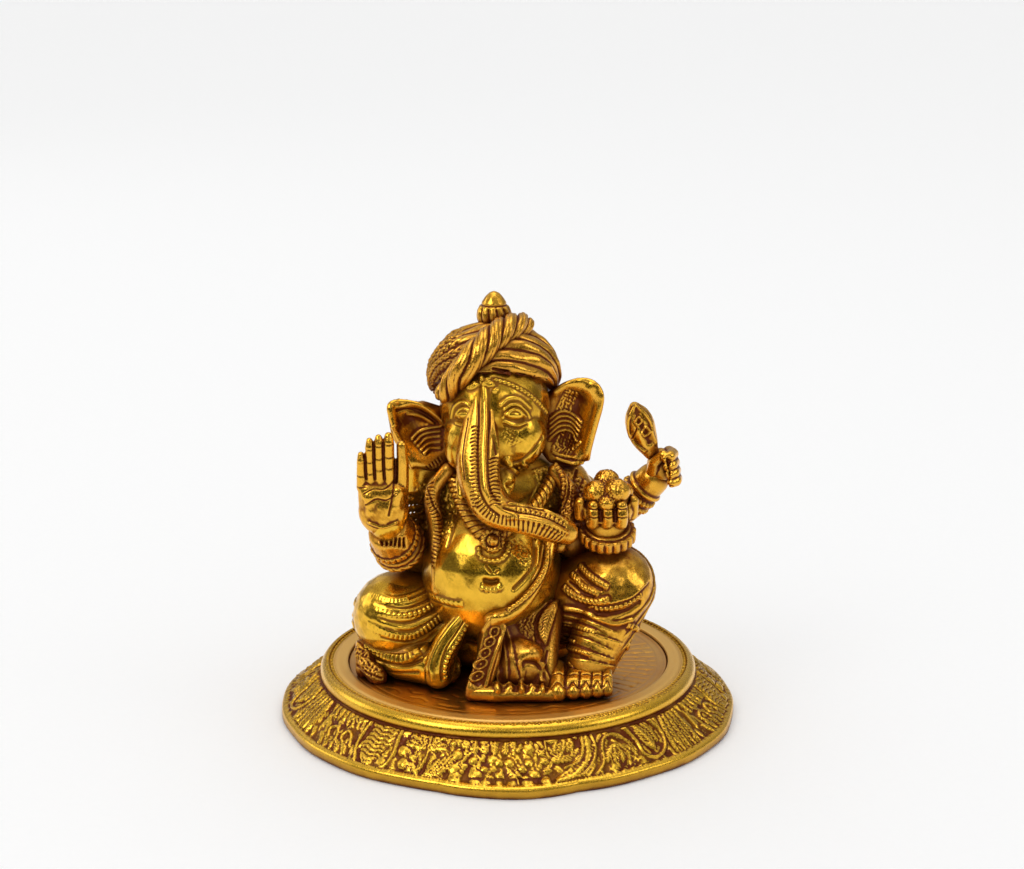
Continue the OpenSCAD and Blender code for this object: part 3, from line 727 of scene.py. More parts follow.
def make_left_leg():
    """The raised knee, its shin in slanting folds."""
    clay = Clay(
        limb((6, 0, 12, 11.3), (26, -11, 23.3, 10.2), (24.2, -13.6, 15.6, 7.9), (20.2, -18.8, 6, 5.9)),
        settings()[1].body_grain * 0.85, smooth=7)
    clay.marks([
        ("rope", 1.5, 0.6, 1.1, [(17.6, 25.2), (18.6, 24), (20, 22.5), (22, 21), (24.2, 19.6)]),
        ("groove", 0.8, 0.5, [(17, 23.8), (18.4, 22), (20, 20.6), (22.6, 19)]),
        ("rope", 1.5, 0.6, 1.1, [(15.6, 23), (16.6, 21.8), (18, 20), (20, 18.8), (22, 17.8)]),
        ("groove", 0.8, 0.5, [(15, 21), (16.6, 19.6), (18.4, 18), (20.6, 17.3)]),
        ("rope", 1.8, 0.7, 1.2, [(13.6, 19.6), (14.6, 18.6), (16.5, 17.2), (19, 16.3), (22, 16.1),
            (24.5, 16.6)]),
        ("lip", 2.4, 0.5, [(21, 14.6), (26, 15.8), (30, 17.2), (33.4, 20.2)]),
        ("groove", 1.6, 0.7, [(21.5, 12.8), (25, 12.8), (29, 13.8), (32, 15.6)]),
        ("beads", 1.2, 0.5, 1.2, [(21, 14.2), (25, 14.3), (29, 15.5), (32.4, 17.6)]),
        ("ridge", 1.6, 0.6, [(14, 14), (18, 13.4), (22, 11.6), (26, 10.4), (30, 11.4)]),
        ("beads", 1.1, 0.5, 1.1, [(12.6, 7), (14.4, 6.2), (16.4, 5.6)]),
    ])
    # Each shin fold: its left end, its right end and how far it drops.
    folds = ((14, 25, 3.6), (13.6, 21, 2), (16, 27, 3), (14, 24, 3.4), (13, 20, 1.8), (15, 25, 2.6),
        (14, 26, 2.4))
    for i, (left, right, drop) in enumerate(folds):
        top = 12.4 - 1.75 * i + 0.4 * math.sin(2.7 * i)
        line = [(left, top), ((left + right) / 2, top - 0.35 * drop), (right, top - drop)]
        clay.mark("lip", 1.8, 0.38 + 0.14 * math.sin(1.9 * i), line[::-1])
        if i % 3 == 1:
            clay.mark("beads", 0.8, 0.35, [(a, b - 0.9) for a, b in line], 0.9)
    for i in range(5):
        clay.mark("lip", 2.2, 0.45, [(-8 + 2 * i, 33 - 5.6 * i), (-14, 24 - 4.2 * i), (-19, 18 - 3.6 * i)],
            view="left")
        clay.mark("lip", 2.4, 0.5, [(14 + i, 26 - 5 * i), (22, 24 - 4.4 * i), (33, 27 - 4.6 * i)],
            view="back")
    for i in range(3):
        clay.mark("teeth", 1.5, 0.5, [(-20 + 1.5 * i, 16 - 5.6 * i), (-14, 13 - 5 * i), (-7, 13.6 - 5 * i)],
            pitch=1.1, view="left")
    clay.finish("left_leg", "chased_gilding")


def make_left_foot():
    """The foot and its five toes, with a cord round the instep."""
    toes = [(12.4, 2.3), (16.1, 1.9), (19.2, 1.8), (22, 1.7), (24.4, 1.5)]
    masses = hull((21, -18, 3.6, 4.4), (15, -26, 2.8, 2.6), (23, -26, 2.6, 2.4))
    for i, (x, r) in enumerate(toes):
        masses += limb((x - 0.2, -20.6, 5.6, r * 0.8), (x - 0.2, -24.8, 4.3, r * 0.84),
            (x - 0.4, -28.6 + 0.35 * i, 1.8, r))
    clay = Clay(masses, settings()[1].fine_grain, smooth=5)
    for i, (x, r) in enumerate(toes):
        tip = (x - 0.4, -29.4 + 0.35 * i, 3 + 0.2 * r)
        clay.dots(r * 0.55, 0.3, [tip])
        clay.marks([
            ("groove", 0.45, 0.3, [(x - 0.4 - r * 0.55, tip[1] + 0.3, tip[2] - 0.2),
                (x - 0.4, tip[1] + 1.2, tip[2] + 0.9), (x - 0.4 + r * 0.55, tip[1] + 0.3, tip[2] - 0.2)]),
            ("groove", 0.6, 0.25, [(x - 1.2, -25.6, 5), (x, -25.4, 5.2), (x + 1.2, -25.6, 5)]),
        ])
    clay.marks([
        ("groove", 0.6, 0.5, [((a + b) / 2 - 0.2, -1.6), ((a + b) / 2 - 0.4, -3.8),
            ((a + b) / 2 - 0.5, -5.6)])
        for (a, _), (b, _) in zip(toes, toes[1:])])
    clay.marks([
        ("rope", 1.5, 0.6, 1.2, [(14.6, -20.2, 6.4), (17, -22.4, 6.9), (20.5, -22.9, 6.8), (24.6, -20.8, 6)]),
        ("groove", 0.7, 0.5, [(14, -21.8, 6), (17, -23.6, 6.2), (20.5, -24, 6.1), (25, -22, 5.4)]),
    ])
    clay.finish("left_foot", "chased_gilding")


# ---------- the cloth on the lap ----------


def make_lap_cloth():
    """The drape, its hem, the apron panel, the side fold and the sash's end."""
    fine = settings()[1].fine_grain
    clay = Clay(hull((-3, -17, 17, 4), (9, -15, 17, 4.5), (-6, -25, 2, 2.4), (9, -25, 2, 2.4))
        + egg((5.4, -22.4, 9.4), (3.6, 4, 3.6)) + egg((2.4, -21.6, 6), (8, 6, 8)), fine * 1.1, smooth=10)
    clay.dots(2.6, 0.9, [(5.5, 3.4)])
    clay.marks([
        ("stipple", 5, 0.55, 1.0, [(4, 12.4), (5, 10), (6.6, 8)]),
        ("leaf", 3.6, 0.9, 0.9, [(12.6, 17), (10, 13), (8.8, 9), (9, 5)]),
        ("groove", 1.0, 0.6, [(10.6, 16), (7.4, 12.4), (6.6, 9), (7.2, 5.6)]),
        ("lip", 2.4, 0.6, [(2.6, -3), (1.6, 1.5), (0.8, 6), (-0.8, 11)]),
        ("lip", 2.0, 0.5, [(0, -3), (-0.2, 2), (-1, 6), (-2.2, 10)]),
        ("groove", 1.4, 0.6, [(3.2, -3), (3.2, -1), (4, 0.8), (6.4, 0.6), (8, -1), (8.4, -3)]),
        ("ridge", 1.6, 0.9, [(-2.6, -4), (-2.4, -1.6), (-2.6, 0)]),
        ("ridge", 1.6, 0.9, [(3.2, -4), (3.2, -1.6), (3, 0.4)]),
        ("ridge", 1.6, 0.9, [(8.2, -4), (8.2, -1.6), (8.4, 0)]),
        ("groove", 0.8, 0.4, [(9.6, 3.4), (9.2, 0), (10.4, -3)]),
    ])
    clay.finish("lap_drape", "toned_cloth_gilding")

    clay = Clay(limb((-8, -28, 1.6, 2.2), (-3, -29.2, 2, 2.4), (2, -28.8, 1.8, 2.2), (7, -29.2, 2, 2.2),
        (10.4, -29, 1.4, 1.8)), fine, smooth=3)
    crests = [-2.6, 0.4, 3.2, 5.8, 8.2, 10.2]
    for i, x in enumerate(crests):
        clay.mark("ridge", 1.5, 1.0 - 0.6 * (i % 2), [(x, -2), (x - 0.1, -4.4),
            (x + 0.3, -6 + 0.8 * (i % 2))])
    for a, b in zip(crests, crests[1:]):
        clay.mark("groove", 2.0, 0.6, [((a + b) / 2, -3), ((a + b) / 2 + 0.2, -4.6), ((a + b) / 2 - 0.1, -6)])
    clay.marks([
        ("lip", 1.2, 0.5, [(-6.2, -3.7), (-4.6, -4.8), (-2.6, -3.7), (-1, -4.9), (0.6, -4), (2, -4.9),
            (3.4, -3.8), (5.3, -5), (7.2, -3.7), (8.6, -4.8), (10.6, -3.8)]),
    ])
    clay.finish("hem_fold", "chased_gilding")

    rows = [(-3, -24.4, 18.4, 0.8), (-4.6, -26.6, 10, 1.2), (-7, -28.2, 3, 1.5), (-7.2, -28.2, 1.2, 1.5)]
    masses = []
    for a, b in zip(rows, rows[1:]):
        masses += hull(*[(x + s * w, y, z, 1.7) for x, y, z, w in (a, b) for s in (-1, 1)])
    clay = Clay(masses, fine, smooth=3)
    clay.marks([
        ("groove", 3.0, 0.7, [(-7.4, -4), (-6.8, -1), (-5.4, 3), (-3.8, 7), (-2.4, 10.6)]),
        ("ridge", 1.1, 0.6, [(-10.4, -4), (-10.4, -1.4), (-9.2, 2), (-7.4, 5.8), (-5.6, 9.2), (-4, 12)]),
        ("ridge", 1.0, 0.55, [(-5.2, -5), (-4.3, -1), (-3.1, 3), (-1.6, 7), (-0.4, 11)]),
    ])
    for x, h, w in ((-7.4, -2.6, 1.5), (-6.5, 0.4, 1.5), (-5.5, 3.2, 1.3), (-4.4, 6, 1.2), (-3.2, 8.6, 1.0)):
        loop = [(x + w * math.cos(a), h + 1.1 * math.sin(a) + 0.35 * w * math.cos(a))
            for a in np.linspace(0, 2 * math.pi, 9)]
        clay.mark("ridge", 0.6, 0.75, loop)
        clay.dots(0.35, 0.5, [(x, h)])
    clay.finish("apron_panel", "toned_cloth_gilding")

    clay = Clay(taper((-11, -18.6, 17.6, 2.4), (-14.8, -20, 11.4, 3.3), (-16.8, -20.8, 5.6, 3.7),
        (-17, -21, 3.6, 3.5)), fine, smooth=4)
    clay.marks([
        ("beads", 1.3, 0.6, 1.3, [(-9.4, 10.6), (-11.6, 6.8), (-14, 2.6), (-15.2, -1), (-15, -4)]),
        ("groove", 0.7, 0.5, [(-10.2, 11.6), (-12.6, 7.6), (-15, 3.8), (-16.2, -0.6), (-16, -4)]),
        ("ridge", 1.2, 0.4, [(-11.4, 12.4), (-14.4, 8.8), (-17, 4.6), (-18.6, 0), (-18.4, -4)]),
    ])
    clay.finish("dhoti_fold", "polished_gilding")

    clay = Clay(limb((-35.2, -10.5, 6.6, 2.2), (-34.4, -13.4, 3.2, 2.4), (-32, -16, 1, 2.4))
        + limb((-35.4, -10.5, 7, 2.4), (-35.6, -11.6, 1.2, 2.2)), fine, smooth=3)
    clay.marks([
        ("lip", 2.0, 0.5, [(-32, 1.5), (-34.6, 3), (-37.4, 5.5)]),
        ("lip", 1.6, 0.5, [(-31, -1.5), (-34, 0.4), (-37.6, 2.4)]),
        ("groove", 0.7, 0.5, [(-37.4, -1), (-35, -2.4), (-31, -4)]),
        ("stipple", 4, 0.5, 1.4, [(-36.6, 4), (-35.4, 0), (-32, -3)]),
    ])
    clay.finish("sash_tail", "toned_cloth_gilding")


def make_waist_sash():
    """The corded sash over the belly."""
    line = ((10.4, -13.6, 36, 1.9), (8.4, -18.6, 29.5, 1.9), (3, -22.6, 22, 1.9), (-3.4, -23.6, 18.6, 2.5))
    clay = Clay(taper(*line), settings()[1].fine_grain, smooth=3)
    clay.dots(1.9, 0.9, [(-2.6, 12.4)])
    clay.marks([
        ("groove", 0.7, 0.8, [(8.6, 30.5), (8.3, 26.5), (7.2, 23.2), (5, 20), (2, 17), (-1, 14.8)]),
        ("groove", 0.7, 0.8, [(7.4, 30), (7, 26.5), (5.8, 23.4), (3.6, 20.6), (0.6, 18), (-2, 16.2)]),
        ("rope", 1.2, 0.5, 1.3, [(9.6, 30), (9.4, 26), (8.4, 22.6), (6.2, 19.4), (3, 16.3), (0, 14)]),
        ("rope", 0.9, 0.4, 1.3, [(6.4, 29.4), (6, 26.4), (4.8, 23.6), (2.6, 21), (0, 19), (-2, 17.6)]),
    ])
    clay.finish("waist_sash", "chased_gilding")


# ---------- arms and hands ----------


def make_right_arm():
    """The arm with the raised palm, its bangles and its hand."""
    fine = settings()[1].fine_grain
    strands = [limb((-20, -1, 44 - 1.9 * i, 0.8), (-25.6, -9.6, 46 - 1.9 * i, 0.7)) for i in range(5)]
    sleeve = limb((-15.5, 1.5, 51, 5), (-21.4, 0.6, 50, 5), (-22, 0, 44.8, 3.9))
    bare = limb((-15.5, 1, 46, 6.4), (-17.4, 1.5, 40, 4.6), (-18.4, 1, 35, 4.8), (-22, -2, 29.5, 6.2),
        (-27.2, -11, 34.8, 4.8), (-29.3, -15, 41, 4.6))
    clay = Clay(sum(strands, []) + sleeve + bare, fine * 1.2, smooth=8)
    for i in range(2):
        clay.hoop("beads", (-17.6, 1.3, 38.5 - 2 * i), (0.1, -0.1, 1), 1.5, 0.6, 1.6, within=7)
    clay.hoop("ridge", (-17.6, 1.3, 40.2), (0.1, -0.1, 1), 1.2, 0.5, within=7)
    clay.marks([
        ("stipple", 5, 0.35, 1.0, [(-20, 46), (-20.5, 42), (-20.5, 38)]),
        ("ridge", 1.1, 0.5, [(-20.4, 44.2), (-21.8, 42.6), (-23.4, 42)]),
        ("ridge", 1.1, 0.5, [(-20.2, 41.6), (-21.6, 40.2), (-23.2, 39.8)]),
    ])
    clay.finish("right_arm", "polished_gilding")

    tilt = Vector((0, 0, 1))
    tilt.rotate(Matrix.Rotation(math.radians(-30), 3, "Y") @ Matrix.Rotation(math.radians(42), 3, "X"))
    rings = []
    for centre, radius in (((-26.4, -10, 33), 6.2), ((-27.6, -12.4, 35.6), 6), ((-28.9, -14.6, 38.4), 5.2)):
        spots = []
        for i in range(16):
            arm = tilt.orthogonal().normalized() * (radius - 1.3)
            arm.rotate(Matrix.Rotation(math.tau * i / 16, 3, tilt))
            spots.append((*(Vector(centre) + arm), 1.5))
        rings.append(spots)
    clay = Clay(hull(*rings[0], *rings[1]) + hull(*rings[1], *rings[2]), fine, smooth=2)
    low, high = Vector((-26.6, -10.2, 33.4)), Vector((-27.8, -12.6, 36))
    clay.hoop("rope", low - tilt * 0.4, tilt, 1.7, 0.7, 1.7)
    clay.hoop("groove", (low + high) / 2, tilt, 1.1, 0.9)
    clay.hoop("teeth", high - tilt * 0.2, tilt, 1.5, 0.5, 1.4)
    clay.marks([("groove", 0.8, 1.2, [(-30.5 + 1.1 * i, 32.4 - 0.1 * i), (-30.5 + 1.1 * i, 30.4 - 0.1 * i)])
        for i in range(6)])
    clay.finish("right_bangles", "toned_cloth_gilding")

    fingers = [(-35.2, 58.4, 1.25), (-33.1, 61.8, 1.3), (-30.9, 62.6, 1.35), (-28.5, 63, 1.5)]
    heel = [(-30, -16, 42.5, 3.9), (-33, -15.6, 43, 3), (-27, -15.6, 43, 3)]
    palm = [(-33.6, -16.6, 49, 2.6), (-26.6, -16.6, 49, 2.4)]
    masses = hull(*heel, *palm) + egg((-30, -16, 44), (6.2, 3.9, 6.4))
    for x, top, r in fingers:
        masses += limb((x + 0.2, -16.6, 50, 1.5), (x, -16.9, 55, r - 0.1), (x, -17.3, top - 1.6, r - 0.15),
            (x - 0.05, -17, top - 0.1, r - 0.45))
    masses += limb((-26.4, -15.6, 44, 2.4), (-25.4, -16.2, 52, 1.7), (-25.2, -16.6, 56, 1.5),
        (-25.5, -16.4, 60.4, 1.3))
    clay = Clay(masses, fine * 0.9, smooth=3)
    for x, top, _ in fingers:
        tip = top - 5
        clay.marks([("groove", 0.4, 0.16, [(x - 1.1, h), (x, h - 0.25), (x + 1.1, h)])
            for h in (tip - 2.4, tip - 5.6, tip - 8.4)])
    for x in (-34.2, -32.1, -29.8):
        clay.mark("groove", 0.6, 0.55, [(x, 56), (x, 51), (x + 0.2, 47)])
    clay.mark("groove", 0.9, 0.8, [(-26.9, 54), (-26.9, 50), (-27, 46.4)])
    clay.marks([
        ("groove", 0.5, 0.22, [(-34.6, 43.2), (-32.4, 44.4), (-30, 44.4), (-28.4, 45.4), (-27, 47)]),
        ("groove", 0.5, 0.22, [(-34, 40.6), (-31.6, 41.9), (-29, 41.7), (-26.8, 43.4)]),
        ("groove", 0.6, 0.35, [(-27.4, 46), (-27.8, 42), (-28.6, 38)]),
        ("ridge", 2.6, 0.5, [(-33.2, 38.6), (-33.8, 42)]),
        ("ridge", 2.6, 0.4, [(-26.6, 40), (-26.2, 44)]),
        ("ridge", 1.0, 0.5, [(-33.4, 36), (-30, 34.9), (-26.8, 36)]),
    ])
    clay.marks([("groove", 0.5, 0.35, [(x - 1.2, z), (x, z - 0.4), (x + 1.2, z)]) for x, top, _ in fingers
        for z in (top - 3.8, top - 7.6)], view="back")
    clay.finish("right_hand", "chased_gilding")


def make_left_arms():
    """The front arm with the sweets and the rear arm with the lotus bud."""
    fine = settings()[1].fine_grain
    clay = Clay(
        limb((14, 1, 45.5, 6.4), (18.6, 1, 38, 6), (23.5, -1, 31.5, 6), (24.3, -11.5, 36, 5),
            (24, -13, 39.5, 4.4)) + egg((16, -3, 33.5), (5, 7, 6)),
        fine * 1.2, smooth=8)
    clay.marks([
        ("beads", 1.4, 0.6, 1.4, [(12.2, 38), (15, 42), (17.8, 47.6)]),
        ("beads", 1.2, 0.5, 1.3, [(13.8, 37), (16.6, 41.4), (19.2, 46.8)]),
        ("stipple", 5, 0.4, 1.0, [(13, 49), (15.4, 46), (17, 43)]),
        ("groove", 0.9, 0.6, [(13, 40.6), (15.6, 45.4), (17, 49.6)]),
        ("rope", 1.5, 0.6, 1.5, [(17.4, 35.4), (18.6, 33.4), (19.4, 31)]),
    ])
    clay.hoop("beads", (17.2, 1, 40.4), (0.5, 0, -0.85), 1.5, 0.5, 1.6, within=8)
    clay.hoop("ridge", (18, 1, 39), (0.5, 0, -0.85), 1.1, 0.5, within=8)
    clay.finish("left_front_arm", "chased_gilding")

    axis = Vector((0, -math.sin(math.radians(18)), math.cos(math.radians(18))))
    centre = Vector((24.3, -12.1, 37))
    ring = []
    for i in range(18):
        arm = axis.orthogonal().normalized() * 4.9
        arm.rotate(Matrix.Rotation(math.tau * i / 18, 3, axis))
        ring += [(*(centre + arm + axis * up), 1.4) for up in (-0.7, 0.7)]
    clay = Clay(hull(*ring), fine, smooth=2)
    clay.hoop("teeth", centre, axis, 3.2, 0.8, 1.5)
    clay.hoop("groove", centre + axis * 1.5, axis, 0.6, 0.4)
    clay.finish("left_cuff", "toned_cloth_gilding")

    masses = egg((24, -13, 43.2), (6.6, 5.8, 4.3))
    for x in (20.5, 23.9, 27.3):
        masses += limb((x, -16.8, 41, 1.7), (x + 0.2, -17.9, 43.4, 1.6), (x + 0.1, -17.4, 45.6, 1.45))
    masses += limb((17.9, -13.2, 42.1, 1.9), (17.7, -14.5, 45.4, 1.6)) + limb((29.9, -12.8, 42.2, 1.8),
        (30.3, -13.3, 45.6, 1.5))
    clay = Clay(masses, fine, smooth=3)
    for x in (20.7, 24.1, 27.4):
        clay.marks([("groove", 0.5, 0.35, [(x - 1.4, h), (x, h - 0.3), (x + 1.4, h)]) for h in (39.6, 37.4)])
    clay.marks([("groove", 0.9, 0.9, [(x, 42.4), (x, 39), (x + 0.1, 36.4)]) for x in (19, 22.3, 25.8, 29)])
    clay.finish("sweet_hand", "chased_gilding")

    masses = egg((24.2, -12.6, 46.6), (5.4, 5, 4.4))
    for x, y, z, r in ((21.2, -14.6, 48.2, 3.1), (26.4, -15, 48.6, 3.3), (24, -11, 50, 3),
            (28, -11.6, 47.6, 2.6), (23.8, -17, 46, 2.2)):
        masses += egg((x, y, z), (r, r, r * 0.9))
    clay = Clay(masses, fine, smooth=2)
    clay.mark("stipple", 12, 0.25, [(20, 45), (24, 46), (28, 45)], 0.9)
    clay.finish("sweets", "chased_gilding")

    clay = Clay(limb((14, 6, 43.5, 6), (25.5, 8, 35.5, 5.2), (32, 5.6, 41.4, 4.6), (36, 4, 46, 4.2)),
        fine * 1.2, smooth=7)
    along = Vector((4, -1.6, 4.6)).normalized()
    for i, (kind, width, height) in enumerate((("teeth", 1.2, 0.6), ("groove", 0.7, 0.6),
            ("beads", 1.5, 0.7), ("groove", 0.7, 0.6), ("ridge", 1.3, 0.6))):
        clay.hoop(kind, Vector((31.2, 5.8, 40.6)) + along * (1.15 * i), along, width, height, 1.3, within=6.5)
    clay.finish("left_rear_arm", "chased_gilding")

    masses = egg((37.8, 2.8, 50), (3.4, 3.4, 4.4))
    for i in range(4):
        z = 46.7 + 2.1 * i
        masses += limb((40, 3.8, z, 1.7), (41.7 - 0.35 * i, 1.2, z + 0.3, 1.6),
            (41.4 - 0.5 * i, -1.5, z + 0.5, 1.5), (40.3 - 0.5 * i, -2.8, z + 0.3, 1.2))
    masses += limb((35.8, 1.2, 49, 1.7), (36, -0.6, 51.6, 1.4), (38.2, -1.8, 54, 1.15))
    clay = Clay(masses, fine * 0.9, smooth=2)
    clay.marks([
        ("groove", 1.6, 1.4, [(39.2, 47.6), (39.6, 50), (39.4, 52.4)]),
        ("groove", 0.7, 0.5, [(36.8, 47), (38, 45.6), (40.4, 45.2)]),
    ])
    clay.finish("left_rear_hand", "chased_gilding")

    clay = Clay(taper((35.4, 1.8, 53.6, 2), (33.4, 2, 57.8, 3.4), (32.3, 2, 61.6, 3.5), (31.2, 2, 65, 1.5),
        step=1), fine * 0.9, smooth=3)
    clay.marks([
        ("groove", 2.2, 0.8, [(34.8, 56.6), (33.6, 59), (32.3, 62), (31.6, 64)]),
        ("ridge", 0.9, 0.6, [(33.6, 54.4), (31, 56.8), (29.8, 59.4), (29.8, 62.6), (31.2, 66)]),
        ("ridge", 0.9, 0.6, [(36.4, 56.4), (35.4, 59), (35, 61.6), (33.2, 64.4), (31.4, 66)]),
        ("ridge", 0.7, 0.6, [(31.2, 61.6), (32, 63), (32.8, 61.8), (31.9, 60.8), (31.2, 61.6)]),
        ("ridge", 0.7, 0.6, [(33, 58.8), (33.8, 60.4), (34.8, 59.2), (33.9, 58), (33, 58.8)]),
        ("groove", 0.6, 0.4, [(30.4, 57.4), (31.6, 60)]),
    ])
    clay.marks([("groove", 0.7, 0.5, [(x, 55), (x - 2, 60), (x - 3.4, 65)]) for x in (33.6, 35.2, 36.8)],
        view="back")
    clay.finish("lotus_bud", "chased_gilding")


# ---------- head ----------


def make_head():
    """The head, the trunk and both tusks."""
    fine = settings()[1].fine_grain
    clay = Clay(
        egg((-3.2, -2, 66.5), (13.6, 13.5, 14)) + egg((-4.4, -7.4, 60), (11.4, 9, 9.5))
        + limb((-2, -9, 53, 4.6), (-0.6, -14.6, 49.6, 2.4))
        + egg((2, -7.6, 60.5), (7.4, 7.6, 8.6)) + egg((-11.4, -9.4, 57.4), (4, 4.6, 5)),
        fine * 1.1, smooth=12, cut=((0, 0, 46), (0, 0, 1)))
    clay.marks([
        # the viewer's right eye, under two lids and a brow
        ("ridge", 2.6, 0.7, [(0.4, 63), (2.8, 63)]),
        ("groove", 0.8, 0.5, [(-1, 62.7), (0.4, 61.9), (2, 61.6), (3.8, 62.1)]),
        ("ridge", 0.8, 0.6, [(-1, 62.6), (0.2, 64), (1.6, 64.5), (3, 64), (4.2, 62.6)]),
        ("groove", 0.5, 0.4, [(-0.6, 63.6), (0.9, 64.9), (2.6, 64.7), (4.1, 63.4)]),
        ("ridge", 0.7, 0.45, [(-0.8, 64.5), (1, 65.6), (2.9, 65.3), (4.6, 63.8), (5.2, 62.4)]),
        ("ridge", 0.9, 0.5, [(-1.6, 65.6), (0, 67), (1.9, 67.3), (3.4, 66.7), (5.4, 64.8)]),
        ("ridge", 0.8, 0.4, [(-0.8, 61.4), (0.8, 60.7), (2.4, 60.5), (4, 61)]),
        ("groove", 0.6, 0.4, [(-0.8, 60.7), (0.8, 59.9), (2.6, 59.7), (4.4, 60.6)]),
        # the viewer's left eye, seen more from the side
        ("ridge", 2.2, 0.6, [(-11.6, 63), (-9.8, 63.2)]),
        ("ridge", 0.8, 0.5, [(-12.6, 62.6), (-11.8, 64.2), (-10.6, 64.8), (-9.2, 64.2)]),
        ("groove", 0.7, 0.5, [(-12.4, 62.2), (-11, 61.6), (-9.2, 61.9)]),
        ("ridge", 0.8, 0.5, [(-13.6, 62.5), (-13, 64.9), (-11.8, 66.2), (-10.5, 66.4), (-9.2, 65.4)]),
        ("ridge", 0.7, 0.4, [(-12.6, 61.2), (-11, 60.7), (-9.2, 60.9)]),
        # cheeks, the mouth and the pleats of skin round it
        ("stipple", 4, 0.22, 0.9, [(-0.6, 59.6), (1, 58), (2, 56)]),
        ("groove", 1.2, 0.6, [(-1, 51.2), (1.4, 51), (3.6, 51.8), (6, 54), (8.4, 57.4)]),
        ("groove", 2.2, 2.0, [(0.4, 45.6), (1.9, 45)]),
        ("ridge", 0.8, 0.7, [(-0.4, 43.8), (1, 43.2), (2.4, 43.8)]),
        ("ridge", 1.2, 0.9, [(0.2, 50), (2.6, 48), (3.8, 45.4), (4.4, 41)]),
        ("ridge", 1.1, 0.8, [(3.6, 51), (6.2, 48.6), (7.2, 45.2)]),
        ("ridge", 0.8, 0.6, [(2.6, 50), (4.6, 47.4), (5.4, 44.6)]),
        ("groove", 0.6, 0.6, [(1.8, 49.6), (3.6, 47), (4.4, 44)]),
        ("ridge", 1.7, 0.7, [(-6, 72), (-5.7, 69), (-5.6, 66), (-5.6, 61)]),
        # the ornament on the brow
        ("leaf", 1.8, 0.9, 0.8, [(-9.8, 69.6), (-8, 70.4), (-6.6, 70.6)]),
        ("leaf", 1.6, 0.9, 0.8, [(-6.3, 70.6), (-6.4, 72), (-6.2, 73.6)]),
        ("leaf", 1.8, 0.9, 0.8, [(-6, 70.4), (-4.6, 70.8), (-3, 70.2)]),
        # turban's lower hem
        ("beads", 1.0, 0.5, 1.1, [(-3.4, 72), (0, 71), (4, 69), (7, 66.6), (9.4, 64)]),
    ])
    clay.dots(0.7, 0.6, [(-3.1, 69.2), (-7.8, 71.4), (-4.8, 72), (-9.6, 71)])
    clay.finish("head", "polished_gilding")

    clay = Clay(taper((-6, -10.4, 72, 3), (-6.1, -11.7, 68.5, 3.6), (-6.6, -13.6, 63, 4.8),
        (-7.3, -17, 57, 5.3), (-6.4, -20.6, 51.4, 4.9), (-3, -23.7, 46.6, 4.3), (4, -25.6, 44.4, 3.4),
        (9.5, -25, 42.8, 3.7), (13.8, -22.8, 40.6, 3.1), step=2), fine, smooth=6)
    clay.marks([
        ("ridge", 1.7, 0.75, [(-5.7, 73), (-5.6, 70), (-5.5, 66), (-5.4, 62), (-5.6, 58), (-5.8, 54),
            (-5.7, 50), (-5.5, 46), (-5, 43.5), (-3.5, 41), (-1, 38.9), (1.5, 38)]),
        ("groove", 0.7, 0.5, [(-4.5, 66), (-4.3, 62), (-4.5, 57), (-4.6, 52), (-4.5, 47), (-3.9, 44),
            (-2.4, 41.6)]),
        ("ridge", 1.5, 0.6, [(-4, 64), (-3.6, 60), (-2.9, 56), (-2.5, 53), (-2.9, 50), (-2.8, 47)]),
        ("groove", 0.8, 0.5, [(-7.1, 69), (-7, 64), (-7, 60), (-7.2, 55), (-7.1, 50), (-6.9, 46),
            (-6.3, 43), (-4.6, 40), (-2.4, 38)]),
        ("groove", 0.7, 0.25, [(-9.6, 62), (-10.4, 57), (-10.9, 52), (-10.4, 47)]),
    ])
    for i in range(22):
        h = 60 - 0.95 * i
        sway = 0.25 * math.sin(1.3 * i)
        clay.mark("groove", 0.4, 0.28, [(-8.7 + sway, h - 0.1), (-7.9, h + 0.1), (-7, h - 0.1)])
    for i in range(13):
        h = 52 - 0.95 * i
        clay.mark("groove", 0.45, 0.45, [(-4.2, h - 0.2), (-3.2, h + 0.2), (-1.8, h)])
    clay.marks([
        ("hatch", 2.6, 0.55, 0.95, [(-7.6, 42), (-6.2, 39.6), (-4, 37.6), (-1, 36.6), (3, 36.4)]),
        ("ridge", 1.0, 0.5, [(0.5, 40.8), (4, 40.2), (8, 39.4), (11, 38), (14, 36.2)]),
        ("groove", 0.7, 0.5, [(-1, 39.6), (2, 38.8), (6, 38.2), (10, 37), (13.6, 35)]),
        ("ridge", 1.3, 0.6, [(0, 37.2), (3, 37.2), (6, 36.6), (10, 35.6), (14, 33.6)]),
        ("hatch", 3.4, 0.6, 1.15, [(2.5, 35.2), (6, 34.8), (10, 33.4), (13, 32.2)]),
        ("hatch", 1.6, 0.5, 1.2, [(2, 39.2), (6, 38.8), (10, 37.6), (13.4, 35.8)]),
        ("beads", 1.0, 0.5, 1.2, [(7.6, 35.4), (10, 34.6), (13, 33)]),
    ])
    clay.finish("trunk", "chased_gilding")

    clay = Clay(taper((-9.6, -12, 56.4, 1.9), (-11, -17.4, 52.6, 1.6), (-11.2, -20.4, 49, 0.9), step=0.8),
        fine, smooth=3)
    clay.hoop("ridge", (-10.5, -15.6, 54), (-0.2, -0.75, -0.6), 0.9, 0.35, within=4)
    clay.finish("right_tusk", "polished_gilding")
    clay = Clay(taper((-1.4, -12, 57.4, 1.6), (-0.2, -14.8, 56, 1.3), (0.6, -16, 55.4, 0.8), step=0.8),
        fine, smooth=3)
    clay.hoop("ridge", (-0.2, -14.6, 56.1), (0.3, -0.8, -0.45), 0.9, 0.35, within=4)
    clay.finish("left_tusk", "polished_gilding")


